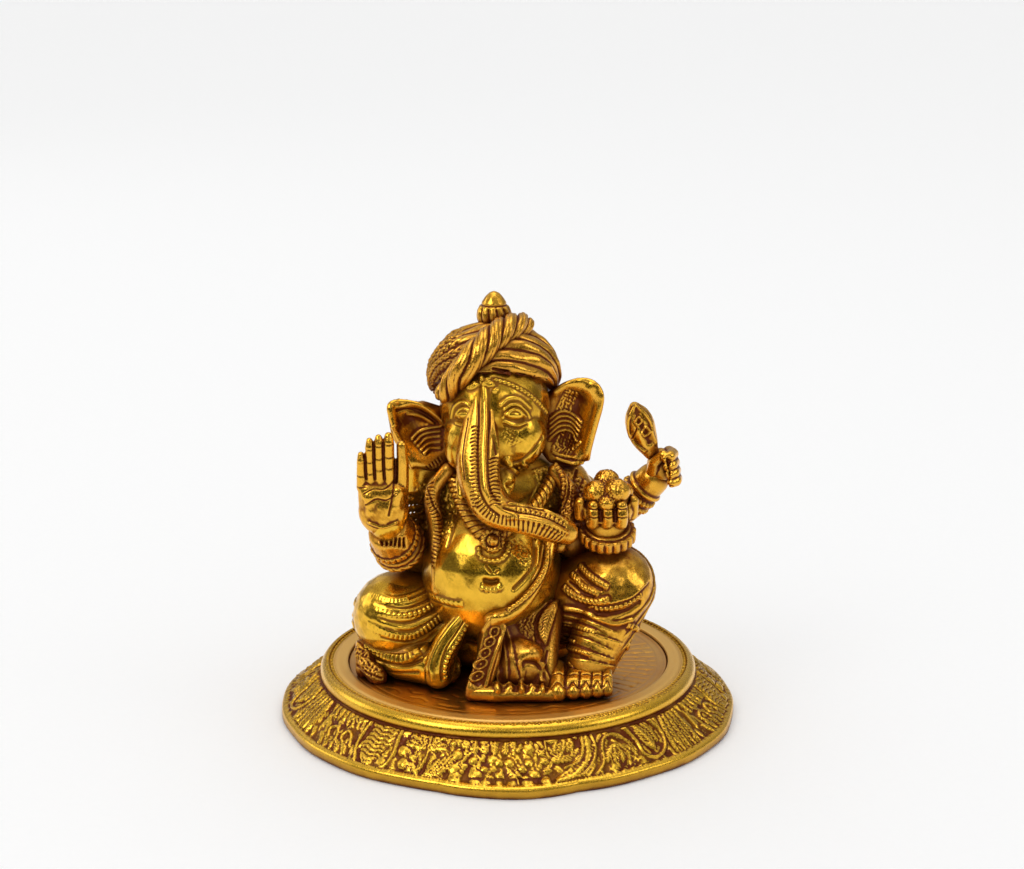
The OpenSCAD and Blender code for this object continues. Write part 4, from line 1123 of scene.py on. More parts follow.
def make_ears():
    """Both ears, dished and ribbed."""
    fine = settings()[1].fine_grain
    thick = 1.7
    rows = (
        [(-13, 0, 63), (-21, -1.4, 66), (-27.8, -3, 65.8)],
        [(-13, 0, 63), (-27.8, -3, 65.8), (-27, -4, 60), (-13, -1, 55)],
        [(-13, -1, 55), (-27, -4, 60), (-23, -4.6, 53), (-17, -3, 51.5)],
    )
    clay = Clay([m for row in rows for m in hull(*[(*p, thick) for p in row])], fine, smooth=6)
    clay.marks([
        ("groove", 9, 2.2, [(-23.5, 61.6), (-21, 58.6), (-18, 57.6)]),
        ("ridge", 2.2, 1.0, [(-27.6, 60.5), (-28.4, 63), (-28.4, 66), (-25, 66.7), (-21, 65.7), (-18, 63.7),
            (-15.6, 61.4)]),
        ("ridge", 1.4, 0.5, [(-28, 60), (-26, 56), (-24.6, 52.8), (-23.4, 50)]),
        ("groove", 1.2, 0.7, [(-26.8, 64.6), (-24, 65.2), (-20.6, 64), (-17.4, 61.6)]),
    ])
    clay.marks([("ridge", 0.9, 0.45, [(-23 + 0.7 * i, 57.4 - 0.9 * i), (-20.4 + 0.4 * i, 59.4 - 1.1 * i),
        (-16.4, 60.4 - 1.3 * i)]) for i in range(5)])
    clay.marks([
        ("ridge", 1.0, 0.6, [(-24, 63.6), (-21, 63), (-18, 61.4)]),
        ("hatch", 1.6, 0.4, 0.9, [(-23, 48.4), (-20, 49.6), (-16, 52.4)]),
    ])
    clay.marks([
        ("groove", 8, 0.8, [(-24, 64), (-21, 60), (-19, 56)]),
        ("ridge", 1.2, 0.5, [(-27.6, 66), (-27.4, 60), (-23.6, 53.4), (-18, 51.4)]),
        ("ridge", 1.2, 0.5, [(-16, 64), (-20, 60), (-22, 56)]),
    ], view="back")
    clay.finish("right_ear", "chased_gilding")

    rows = (
        [(8, 1, 66), (12.4, 0.3, 69.2), (15.4, -0.5, 70.7), (18.2, -1, 71), (20.4, -1.4, 70.4),
            (21.5, -1.6, 68.8), (21.6, -1.6, 65.6)],
        [(8, 1, 66), (21.6, -1.6, 65.6), (19.4, -2, 58.5), (8, 0, 57)],
        [(8, 0, 57), (19.4, -2, 58.5), (18.4, -2.4, 54.6), (16.6, -2.6, 52.6), (11, -2, 53.4)],
    )
    clay = Clay([m for row in rows for m in hull(*[(*p, thick) for p in row])], fine, smooth=18)
    clay.marks([
        ("groove", 8, 2.2, [(16.6, 66.4), (15.6, 62), (14, 57)]),
        ("groove", 6, 0.8, [(14.6, 57), (14, 54)]),
        ("ridge", 2.2, 1.0, [(11.6, 69.4), (14, 71), (17, 72), (20, 71.7), (22, 70), (22.6, 67), (21.2, 61),
            (19.8, 55.4), (19.2, 52)]),
        ("ridge", 1.2, 0.5, [(12, 52.2), (15.6, 51), (18.8, 51.4)]),
        ("ridge", 1.0, 0.5, [(11, 54.2), (13.4, 53), (16.4, 52.6)]),
        ("stipple", 6, 0.35, 1.0, [(13, 67.6), (16, 66)]),
        ("stipple", 6, 0.4, 0.9, [(12, 57.6), (14.4, 56), (16, 54.4)]),
    ])
    clay.marks([("ridge", 0.8, 0.5, [(10.2, 62.6 - 1.3 * i), (12.6, 64.2 - 1.25 * i), (15, 63.8 - 1.2 * i),
        (17.6 - 0.3 * i, 61.4 - 1.1 * i)]) for i in range(5)])
    clay.marks([
        ("groove", 8, 0.8, [(17, 67), (16, 62), (14, 57)]),
        ("ridge", 1.2, 0.5, [(20.6, 69.4), (20.8, 64), (18.6, 57), (17.4, 52)]),
        ("ridge", 1.2, 0.5, [(11, 66), (14, 62), (15.4, 57)]),
    ], view="back")
    clay.finish("left_ear", "chased_gilding")


def make_turban():
    """The wrapped turban, its twisted band and the finial."""
    fine = settings()[1].fine_grain
    middle = np.array((-3.5, 3, 73.3))
    hem_tilt = math.radians(29)
    clay = Clay(egg(middle, (16.2, 16, 13.2)) + egg((-3.5, 2, 68), (15.2, 15.2, 10)), fine * 1.15, smooth=6,
        cut=((0, 0, 70), (0, math.sin(hem_tilt), math.cos(hem_tilt))))
    # Wrapped folds: each lies in a plane through the axis from ear to ear.
    rel = clay.co - np.array((middle[0], 3.5, 64.5))
    around = np.arctan2(rel[:, 2], -rel[:, 1])
    off_axis = np.hypot(rel[:, 1], rel[:, 2])
    sway = 0.07 * np.sin(0.13 * rel[:, 0] + 2 * around) + 0.015 * np.sin(0.3 * rel[:, 0] + 4 * around + 1)
    folds = 21
    phase = folds * (around + sway)
    crease = np.abs(np.sin(phase))
    deep = 0.6 + 0.4 * np.sin(0.37 * phase + 0.25 * rel[:, 0]) ** 2
    fade = smoothstep(off_axis, 3.5, 9)
    clay.lift += fade * (1.2 * deep * np.sqrt(crease) - 0.75 + 0.35 * np.sin(0.29 * phase))
    # The viewer's left side is plaited.
    weave = comb(off_axis + 0.5 * np.sin(3 * phase), 1.25)
    clay.lift += 0.5 * (weave - 0.6) * smoothstep(-rel[:, 0], 6, 10) * fade
    clay.press()
    clay.marks([
        ("rope", 1.5, 0.5, 1.1, [(-4.8, 73.2), (0, 72.2), (4, 70.4), (7, 68), (9.4, 65.6)]),
        ("groove", 1.0, 0.7, [(-3.5, 74.6), (0, 73.6), (4, 72), (8, 69.4), (10, 67)]),
    ])
    clay.finish("turban", "toned_turban_gilding")

    line = ((-15, -9, 71.4, 2.3), (-11, -10.8, 77.4, 3.0), (-7, -9.3, 81.8, 3.2), (-3, -5.8, 84.8, 3.2),
        (0.4, -2, 86, 3.1), (3.4, 2, 85.8, 2.8))
    clay = Clay(taper(*line), fine, smooth=3)
    twist_along(clay, line, strands=4, lead=18.5, depth=1.15)
    clay.finish("turban_twist", "toned_cloth_gilding")

    crown = (-3.4, 5, 84)
    clay = Clay(egg((-3.4, 5, 87.6), (4.2, 4.2, 3.8)) + egg((-3.4, 5, 85), (3.6, 3.6, 2.4))
        + limb((-3.4, 5, 88.6, 3.8), (-3.4, 5, 91.2, 2.4), (-3.4, 5, 92.9, 0.8)), fine * 0.9, smooth=2)
    rel = clay.co - np.array(crown)
    flutes = np.abs(np.sin(5.5 * np.arctan2(rel[:, 1], rel[:, 0]) + 0.25 * rel[:, 2]))
    clay.lift += 0.8 * (flutes**0.6 - 0.75) * smoothstep(rel[:, 2], 6.6, 5.2) * smoothstep(rel[:, 2], -0.5, 1)
    clay.hoop("groove", (*crown[:2], crown[2] + 6.4), (0, 0, 1), 0.7, 0.3)
    clay.hoop("ridge", (*crown[:2], crown[2] + 1.2), (0, 0, 1), 1.0, 0.3)
    clay.finish("finial", "chased_gilding")


def twist_along(clay, line, strands, lead, depth):
    """Cuts a piece that follows a line into twisted strands, one turn in each lead."""
    step = 0.25
    path = curve_through(np.array(line)[:, :3], step)
    forward = np.gradient(path, axis=0)
    forward /= np.linalg.norm(forward, axis=1)[:, None]
    up = np.array((0.3, 0.2, 1.0))
    one = np.cross(forward, up)
    one /= np.linalg.norm(one, axis=1)[:, None]
    two = np.cross(one, forward)
    gaps = (clay.co**2).sum(1)[:, None] + (path**2).sum(1)[None] - 2 * clay.co @ path.T
    best = gaps.argmin(1)
    delta = clay.co - path[best]
    turn = np.arctan2((delta * two[best]).sum(1), (delta * one[best]).sum(1))
    s = best * step + (delta * forward[best]).sum(1)
    lay = strands / 2 * (turn - math.tau * s / lead)
    wave = np.abs(np.sin(lay))
    thread = np.abs(np.sin(3 * lay))
    clay.lift += depth * (np.sqrt(wave) - 0.72) + 0.2 * thread


# ---------- jewels and scarves ----------


def make_jewels():
    """The necklace and both scarves."""
    fine = settings()[1].fine_grain
    line = ((-14, -6, 50.5, 1.5), (-11.6, -12, 46, 1.7), (-8.6, -16.4, 41, 1.7), (-4.3, -19.4, 38.4, 1.9),
        (1, -17.6, 40.8, 1.6), (7.4, -12.4, 45, 1.5), (11, -6.4, 49.5, 1.5))
    clay = Clay(taper(*line) + egg((-3.8, -20.8, 37.6), (2.8, 2, 3)), fine, smooth=3)
    twist_along(clay, line, strands=3, lead=5, depth=0.6)
    clay.press()
    clay.dots(1.0, 0.7, [(-3.6, 31.6)])
    clay.marks([
        ("groove", 0.6, 0.6, [(-3.6 + 1.7 * math.cos(a), 31.6 + 1.7 * math.sin(a))
            for a in np.linspace(0, math.tau, 12)]),
        ("beads", 1.0, 0.5, 1.0, [(-3.6 + 2.5 * math.cos(a), 31.6 + 2.5 * math.sin(a))
            for a in np.linspace(0, math.tau, 14)]),
    ])
    clay.finish("necklace", "chased_gilding")

    line = ((-14.6, -8, 52, 1.8), (-18.4, -8.4, 46, 2), (-17.6, -11.4, 38, 2), (-16.8, -15, 30, 2),
        (-17, -16.4, 24, 1.8))
    clay = Clay(taper(*line), fine, smooth=3)
    clay.marks([
        ("hatch", 2.6, 0.5, 0.95, [(-19, 47), (-19, 42), (-17.2, 38), (-16.6, 34), (-17.3, 30), (-18.3, 27),
            (-18.8, 23.4), (-19.2, 21)]),
        ("groove", 0.6, 0.5, [(-20.3, 46), (-18.4, 41), (-16.4, 38), (-15.6, 34), (-16.2, 30), (-17, 26),
            (-17.6, 22)]),
        ("beads", 1.2, 0.6, 1.2, [(-18.7, 24.6), (-19, 22.6), (-19.4, 20.6)]),
    ])
    clay.finish("right_scarf", "toned_cloth_gilding")

    line = ((11.4, -7, 51.4, 1.8), (15, -8.6, 46, 2.2), (14.6, -10.4, 40, 2.2), (12.6, -12.6, 34, 2))
    clay = Clay(taper(*line), fine, smooth=3)
    clay.marks([
        ("stipple", 4, 0.5, 0.9, [(13, 53), (16, 48.5), (16, 43), (13.6, 38)]),
        ("beads", 1.1, 0.5, 1.1, [(11.6, 51), (13.4, 47.4), (13.2, 42.6), (11.4, 38)]),
        ("groove", 0.7, 0.6, [(12.4, 51.6), (14.8, 47.6), (14.6, 42.6), (12.6, 38)]),
    ])
    clay.finish("left_scarf", "toned_cloth_gilding")


# ---------- the plinth and its floor ----------


def flat_marks(where, rows):
    """Heights of tool marks drawn on a flat sheet, at points where (two columns, in millimetres)."""
    lift = np.zeros(len(where))
    for row in rows:
        kind, width, height, points = row[0], row[1], row[2], row[-1]
        pitch = row[3] if len(row) == 5 else width
        if len(points) > 1:
            line = curve_through(points, 0.25)
        else:
            line = np.array(points * 2, float) + [[-0.01, 0], [0.01, 0]]
        reach = width * (0.5 if kind == "dome" else 1.1) + 0.3
        inside = (where > line.min(0) - reach) & (where < line.max(0) + reach)
        near = np.nonzero(inside.all(1))[0]
        if not len(near):
            continue
        p = where[near]
        run = np.r_[0, np.cumsum(np.linalg.norm(np.diff(line, axis=0), axis=1))]
        forward = np.gradient(line, axis=0)
        forward /= np.linalg.norm(forward, axis=1)[:, None] + 1e-9
        best = ((p[:, None] - line[None]) ** 2).sum(2).argmin(1)
        delta = p - line[best]
        s = (delta * forward[best]).sum(1)
        d = delta[:, 1] * forward[best, 0] - delta[:, 0] * forward[best, 1]
        beyond = np.maximum(-(s + run[best]), s + run[best] - run[-1])
        s = s + run[best]
        if kind == "dome":
            value = np.sqrt(np.clip(1 - (delta**2).sum(1) * 4 / width**2, 0, 1))
        else:
            if kind in ("groove", "ridge"):
                d = np.hypot(d, np.maximum(beyond, 0))
                ends = 1.0
            else:
                ends = 1 - smoothstep(beyond, 0, 0.3)
            value = mark_height(kind, s, d, run[-1], width, pitch, np.c_[p, np.zeros(len(p))]) * ends
        if kind in CUTS:
            lift[near] -= height * value
        else:
            lift[near] = np.maximum(lift[near], height * value)
    return lift


def frieze_rows():
    """The frieze over 120 degrees, as marks at (degrees round from the front, radius)."""
    rows = []
    berries = [(-13.6, 50.8, 1.7), (-13.8, 53.4, 1.8), (-13, 55, 1.7), (-9, 51.6, 1.3), (-7.8, 54.5, 1.9),
        (-5.9, 53.2, 1.0), (-3.9, 51.2, 1.5), (-2.2, 51.8, 1.3), (0.4, 51.9, 1.5), (3.7, 53, 1.2),
        (5.4, 52, 1.3), (6.6, 54.3, 1.6), (-4.2, 54.8, 0.9), (-2, 54.4, 1.3), (1.4, 54.9, 1.0),
        (4.4, 55, 1.1), (-28.6, 51.4, 1.7), (-27.2, 53.8, 1.7), (-25.4, 52.4, 1.0), (-16.6, 46.6, 1.3),
        (3.2, 46.7, 1.5), (-11.8, 46.4, 1.0), (-18.4, 47.6, 1.2), (-15.2, 48.6, 1.0)]
    rows += [("dome", 2 * r * 0.95, 0.85, [(a, at)]) for a, at, r in berries]
    petals = [((-9.1, 48), (-9, 50.3), 1.5), ((-7.2, 48.4), (-5.6, 50), 1.5),
        ((-3.6, 47.6), (-3.5, 50.4), 1.3), ((-0.6, 47.7), (-0.7, 50.4), 1.3), ((1, 49), (2.2, 46.6), 1.2),
        ((1.6, 50.4), (2, 47.6), 0.8), ((2.6, 50), (3.8, 47.8), 0.8), ((5, 46), (5.2, 48.2), 0.8),
        ((6.4, 45.8), (6.4, 48.2), 0.8), ((-12.4, 47.6), (-11, 49.4), 1.6),
        ((-14.6, 47), (-13.4, 49.2), 1.5), ((-10.6, 45.9), (-10, 48.2), 1.0),
        ((-1.4, 53.2), (-2.6, 55.6), 0.9), ((0.6, 53.6), (2.6, 55.4), 0.8), ((1.8, 53.4), (3.4, 54.8), 0.7),
        ((-5.8, 56), (-4.6, 54), 1.0), ((8, 50.6), (10, 49.6), 1.2), ((8.6, 52), (10.6, 51.6), 1.2),
        ((9, 53.6), (11, 53.6), 1.2), ((8.2, 55.4), (10.4, 55.2), 1.2)]
    rows += [("leaf", w * 1.2, 0.8, 0.7, [a, b]) for a, b, w in petals]
    # Small stems that fill the ground between the motifs.
    chance = random.Random(11)
    for i in range(150):
        a, r = -60 + 0.8 * i, chance.uniform(46.4, 53.6)
        lean, size = chance.uniform(-3, 3), chance.uniform(2, 3.2)
        line = [(a, r), (a + 0.6 * lean, r + 0.5 * size), (a + lean, r + size)]
        rows.append(("ridge", chance.uniform(1.3, 2.1), 0.5, line))
    rows += [
        ("dome", 3.6, 0.7, [(5.7, 49.2)]),
        ("ridge", 0.7, 0.8, [(-9, 48.6), (-8.6, 46.8), (-6.6, 45.8), (-4.8, 46.5), (-4.6, 48.2)]),
        ("dome", 2.8, 0.6, [(-6.6, 47.4)]),
        ("ridge", 0.6, 0.8, [(-3.6, 47.4), (-2.8, 46.2), (-1.4, 45.8), (0.2, 46.6), (1, 48)]),
        # a grass tuft fanning up from the rim, left of the berries
        *[("leaf", 1.1, 0.8, 0.9, [(-21.5 + 0.8 * i, 56), (-19.6 + 1.1 * i, 54.2 - 0.1 * i),
            (-17.8 + 1.5 * i, 51.6 - 0.5 * i)]) for i in range(4)],
        *[("leaf", 0.9, 0.7, 0.9, [(-22.5 - 0.5 * i, 55.8), (-23.6 - 0.6 * i, 54.4),
            (-25.6 - 0.9 * i, 53.6 - 0.3 * i)]) for i in range(2)],
        # fern leaves with curved fan petals
        *[("leaf", 1.3, 0.85, 0.8, [(-22.4, 50.6), (-23.8 - 0.8 * i, 48.6 + 0.5 * i),
            (-26.6 - 0.7 * i, 46.9 + 1.1 * i)]) for i in range(4)],
        *[("leaf", 1.3, 0.85, 0.8, [(-21.6, 50.8), (-20.6 + 0.6 * i, 48.4 + 0.5 * i),
            (-19.2 + 1.0 * i, 46.6 + 1.2 * i)]) for i in range(4)],
        ("ridge", 0.7, 0.9, [(-22.2, 46.6), (-22, 49), (-21.6, 51.6), (-22.4, 54.4)]),
        ("ridge", 1.1, 0.9, [(-31.4, 46.8), (-31.6, 49.4), (-31, 52), (-31.6, 54.6), (-33, 55.8)]),
        # a veined branch and the broad herringbone leaf
        *[("leaf", 0.9, 0.8, 0.8, [(-34.6, 49.4 + 1.1 * i), (-33.4 - 0.3 * i, 48 + 1.1 * i),
            (-32.6, 47 + 1.2 * i)]) for i in range(4)],
        ("leaf", 7.4, 0.75, 1.0, [(-36, 46.6), (-37.6, 50), (-38, 53.4), (-36.4, 56)]),
        ("ridge", 0.6, 1.0, [(-36, 46.8), (-37.6, 50), (-38, 53.4), (-36.4, 56)]),
        *[("groove", 0.4, 0.5, [(-37.3 - 0.08 * i, 48.2 + 0.85 * i), (-39 - 0.16 * i, 47.6 + 0.85 * i),
            (-41.4, 47.6 + 0.9 * i)]) for i in range(8)],
        *[("groove", 0.4, 0.5, [(-37.1 - 0.08 * i, 48.2 + 0.85 * i), (-35.6, 47.8 + 0.85 * i),
            (-34, 48 + 0.9 * i)]) for i in range(8)],
        ("dome", 3.0, 0.8, [(-33.4, 54.6)]),
        ("ridge", 0.8, 0.9, [(-42.8, 47), (-43.4, 50), (-43, 53), (-41, 55.6)]),
        # small curls
        ("ridge", 0.8, 0.9, [(-45, 53.6), (-46.6, 51.6), (-48.6, 51), (-49.6, 52.4), (-48, 53.4)]),
        ("ridge", 0.8, 0.9, [(-50.6, 55), (-51.4, 52.4), (-53.6, 51.2), (-55.4, 52.2), (-54, 53.6)]),
        ("ridge", 0.8, 0.8, [(-45.4, 48), (-47.4, 48.8), (-49.4, 48.2), (-50.8, 49.4)]),
        *[("leaf", 1.2, 0.8, 0.8, [(-46 - 2.2 * i, 50.4), (-47 - 2.2 * i, 48.6), (-47.4 - 2.2 * i, 46.8)])
            for i in range(6)],
        *[("leaf", 1.3, 0.8, 0.8, [(-45.6 - 2.4 * i, 55.8), (-46.4 - 2.4 * i, 54.4),
            (-48.2 - 2.4 * i, 53.4)]) for i in range(5)],
        # the horn with its scroll, and palmette petals under the arch
        ("leaf", 5.6, 0.95, 9.0, [(11.4, 55.6), (17, 54.8), (21.4, 51.6), (22.6, 47.4)]),
        ("ridge", 0.7, 1.15, [(12, 55.6), (18, 55.2), (22.6, 52.6), (24.4, 49.4), (23.4, 46.6)]),
        ("ridge", 0.7, 1.15, [(14.6, 53.4), (18.4, 52.4), (20.6, 50), (21.6, 47)]),
        ("ridge", 0.6, 1.0, [(22, 55.4), (25, 53.4), (26.2, 50.4), (27.6, 48.8), (30, 48.2), (32.6, 48.8),
            (34, 50.6)]),
        *[("leaf", 1.5, 0.9, 0.9, [(29.4, 50.2), (27.4 + 1.7 * i, 52),
            (25.6 + 2.3 * i, 54.2 - 0.3 * abs(i - 2))]) for i in range(5)],
        *[("ridge", 0.55, 1.0, [(31 + 0.9 * i, 48.6 + 0.5 * i), (33.4 + i, 49.6 + 0.7 * i),
            (34.6 + 0.9 * i, 52 + 0.5 * i)]) for i in range(2)],
        ("dome", 3.4, 0.75, [(12.4, 47.4)]),
        ("ridge", 0.6, 0.95, [(10.4, 49.6), (10.6, 47.6), (12.6, 46.4), (16, 46.8), (19.6, 47.6)]),
        *[("leaf", 1.0, 0.7, 0.7, [(12.6 + 1.2 * i, 50.2), (13 + 1.2 * i, 49), (13.8 + 1.2 * i, 48.2)])
            for i in range(5)],
        *[("leaf", 0.9, 0.7, 0.7, [(12 + 1.0 * i, 52.4), (12.6 + 1.0 * i, 51.4), (13.4 + 1.0 * i, 50.8)])
            for i in range(5)],
        *[("dome", 1.1, 0.6, [(12 + 2 * i, 56.2)]) for i in range(8)],
        # a loop ridge round a teardrop bud
        ("ridge", 0.9, 1.05, [(33.6, 46.8), (35.8, 48.4), (37, 51), (37.2, 53.6), (40.4, 54.8),
            (44.4, 53.6), (46.4, 50.8), (45.4, 48.2), (43.6, 47)]),
        ("dome", 2.6, 0.9, [(40.8, 52.2)]),
        ("leaf", 3.0, 0.9, 1.0, [(41.2, 53.4), (40.4, 50.6), (38.6, 47.8)]),
        ("leaf", 1.6, 0.8, 0.8, [(43.4, 52.2), (43, 49.8), (41.4, 47.8)]),
        *[("leaf", 1.2, 0.7, 0.8, [(24.4 + 2.4 * i, 56.6), (25.4 + 2.4 * i, 55.4)]) for i in range(5)],
        # palmette leaves standing side by side
        *[("leaf", 1.5, 0.85, 0.9, [(47.4 + 2.4 * i, 55.8), (48 + 2.1 * i, 52), (49.6 + 1.7 * i, 47.4)])
            for i in range(5)],
        *[("ridge", 0.4, 0.8, [(48.6 + 2.4 * i, 55.4), (49.2 + 2.1 * i, 52), (50.6 + 1.7 * i, 48)])
            for i in range(4)],
    ]
    return rows


def spun_piece(profile, turns):
    """A closed profile of (radius, height) points in millimetres, turned about the upright axis."""
    bm = bmesh.new()
    verts = [bm.verts.new((0, -r * MM, z * MM)) for r, z in profile]
    edges = [bm.edges.new(pair) for pair in zip(verts, verts[1:])]
    bmesh.ops.spin(bm, geom=[*verts, *edges], cent=(0, 0, 0), axis=(0, 0, 1), angle=math.tau, steps=turns,
        use_merge=True)
    bmesh.ops.remove_doubles(bm, verts=bm.verts, dist=1e-7)
    bmesh.ops.recalc_face_normals(bm, faces=bm.faces)
    mesh = bpy.data.meshes.new("spun")
    bm.to_mesh(mesh)
    bm.free()
    return mesh


def spread_points(corners, gap):
    """Corners of a profile with points put in between, no more than gap apart."""
    points = [corners[0]]
    for a, b in zip(corners, corners[1:]):
        count = max(1, math.ceil(math.dist(a, b) / gap))
        points += [(a[0] + (b[0] - a[0]) * i / count, a[1] + (b[1] - a[1]) * i / count)
            for i in range(1, count + 1)]
    return points


def record_hollows(mesh, co):
    """Stores how far each vertex lies under its surroundings."""
    share = 2.2
    ends = np.zeros(len(mesh.edges) * 2, np.int32)
    mesh.edges.foreach_get("vertices", ends)
    ends = ends.reshape(-1, 2)
    normal = Clay.read(mesh.vertex_normals, "vector")
    soft = co.copy()
    recess = np.zeros(len(co))
    for times, weight in ((3, 2 * share), (8, share)):
        for _ in range(times):
            soft = blend_rows(soft, ends, len(co))
        recess += weight * ((soft - co) * normal).sum(1) / MM
    hollow = mesh.attributes.new("hollow", "FLOAT", "POINT")
    hollow.data.foreach_set("value", np.clip(0.5 + recess, 0, 1).astype(np.float32))


def make_plinth():
    """The flared plinth, turned, then carved with the frieze three times round."""
    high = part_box("plinth")[1]
    rim, lobe_tip, top = high.x / MM, high.y / MM, high.z / MM
    disc_low, disc_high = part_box("floor_disc")
    floor_under = disc_low.z / MM
    well = disc_high.x / MM + 0.2
    ring = well + 3.4
    roll_at, roll_r = 45, 2.2
    shoulder, wall, skirt_foot = 47.2, 2.0, 3
    arc = [(roll_at + roll_r * math.cos(a), top - roll_r + roll_r * math.sin(a))
        for a in np.linspace(math.pi / 2, 0, 10)]
    well_side = [(well, floor_under), (well, top - 0.15), (well + 0.15, top), (ring - 0.5, top)]
    carved = [(ring - 0.5, top), (ring + 0.1, top - 0.35), (44.9, top - 0.2), *arc, (shoulder, 10.4),
        (rim - 1.2, skirt_foot)]
    foot = [(rim - 1.2, skirt_foot), (rim - 0.3, 2.7), (rim, 2.2), (rim, 0.5), (rim - 0.5, 0)]
    # Only the carved part needs a fine skin.
    plain_gap, carved_gap = 0.6 * COARSE, 0.27 * COARSE
    face = [*spread_points(well_side, plain_gap), *spread_points(carved, carved_gap)[1:],
        *spread_points(foot, plain_gap)[1:]]
    under = [(rim - 3, 0), (rim - 3.2, 2.4), (shoulder - wall, floor_under - wall), (0, floor_under - wall)]
    mesh = spun_piece([(0, floor_under), *face, *under], round(1000 / COARSE))
    co = Clay.read(mesh.vertices, "co")
    radius, height = np.hypot(co[:, 0], co[:, 1]) / MM, co[:, 2] / MM
    turn = np.arctan2(co[:, 0], -co[:, 1])
    rows = np.array(face)
    run = np.r_[0, np.cumsum(np.linalg.norm(np.diff(rows, axis=0), axis=1))]
    nearest = np.concatenate([
        ((part[:, None] - rows[None]) ** 2).sum(2).argmin(1)
        for part in np.array_split(np.c_[radius, height], 8)])
    outer = np.hypot(radius - rows[nearest, 0], height - rows[nearest, 1]) < 0.02
    along = run[nearest]
    slope = np.gradient(rows, axis=0)
    slope /= np.linalg.norm(slope, axis=1)[:, None]
    out_r, out_z = -slope[nearest, 1], slope[nearest, 0]

    def run_at(r):
        """How far along the face a radius lies."""
        keep = (rows[:, 1] > 2.1) & (rows[:, 0] > 44)
        return np.interp(r, rows[keep, 0], run[keep])

    mean_r = 52.0
    third = math.tau / 3
    local = (turn + third / 2) % third - third / 2
    flat = np.c_[local * mean_r, along]
    drawn = []
    # Narrow motifs are cut a third wider, so that they show.
    for row in frieze_rows():
        points = [(math.radians(a) * mean_r, float(run_at(r))) for a, r in row[-1]]
        broad = row[1] * (1.0 if row[0] in ("dome", "groove") or row[1] > 3 else 1.35)
        drawn.append((row[0], broad, *row[2:-1], points))
    start, end = run_at(47.5), run_at(55.6)
    skirt = smoothstep(along, start - 0.3, start + 0.4) * outer
    skirt = skirt * (1 - smoothstep(along, end - 0.2, end + 0.2))
    scale = settings()[1].relief / 0.9
    ground = 0.06 * pebbles(np.c_[flat, np.zeros(len(flat))], 1.3) - 0.5
    lift = np.where(skirt > 0, skirt * (ground + scale * flat_marks(flat, drawn)), 0)
    # a row of punched dots inside the shoulder, and a grained bead above the rim
    punch_pitch = 1.25
    round_off = ((turn * 44.4 % punch_pitch) / 0.5 - 1.25) ** 2 + ((along - run_at(44.6)) / 0.65) ** 2
    dots = np.sqrt(np.clip(1 - round_off, 0, 1))
    lift -= 0.9 * dots * outer * (height > top - 1)
    border = np.clip(1 - ((along - run_at(55.9)) / 0.5) ** 2, 0, 1)
    lift += outer * border * (0.1 + 0.12 * pebbles(np.c_[turn * 56, along, along], 0.8))
    under_roll = np.exp(-((along - run_at(47.3)) / 0.35) ** 2)
    lift -= 0.5 * outer * under_roll
    shoulder_band = np.clip(1 - ((along - run_at(45.6)) / 0.6) ** 2, 0, 1)
    grained = 0.12 * pebbles(np.c_[turn * 46, along, along], 0.8) * (1 + np.sin(3 * turn))
    lift += outer * shoulder_band * grained
    # the slightly wavy rim, with its lobe at the front and at the back
    lobe_r = 34.2
    centre = lobe_tip - lobe_r
    reach = np.sqrt(np.clip(lobe_r**2 - (centre * np.sin(turn)) ** 2, 0, None))
    lobe = centre * np.abs(np.cos(turn)) + reach
    wave = np.maximum(lobe - rim, 0) + 0.18 * np.sin(7 * turn + 0.6) + 0.12 * np.sin(17 * turn)
    spread = smoothstep(radius, rim - 5, rim - 0.5) * (height < 3.4) * wave
    radius = radius + lift * out_r * outer + spread
    height = height + lift * out_z * outer
    co = np.c_[radius * np.sin(turn), -radius * np.cos(turn), height] * MM
    mesh.vertices.foreach_set("co", co.astype(np.float32).ravel())
    mesh.update()
    record_hollows(mesh, co)
    show_piece("plinth", mesh, finish_named("frieze_gilding"))
    # the flat ring round the floor disc is brushed, not chased
    mesh.materials.append(finish_named("brushed_pale_gilding"))
    middle = np.zeros(len(mesh.polygons) * 3, np.float32)
    mesh.polygons.foreach_get("center", middle)
    middle = middle.reshape(-1, 3) / MM
    ring_face = (np.hypot(middle[:, 0], middle[:, 1]) < 44) & (middle[:, 2] > top - 0.6)
    mesh.polygons.foreach_set("material_index", ring_face.astype(np.int32))


def clock_point(radius, turn):
    """A place on the floor disc, turned round from the front."""
    return (radius * math.sin(turn), -radius * math.cos(turn))


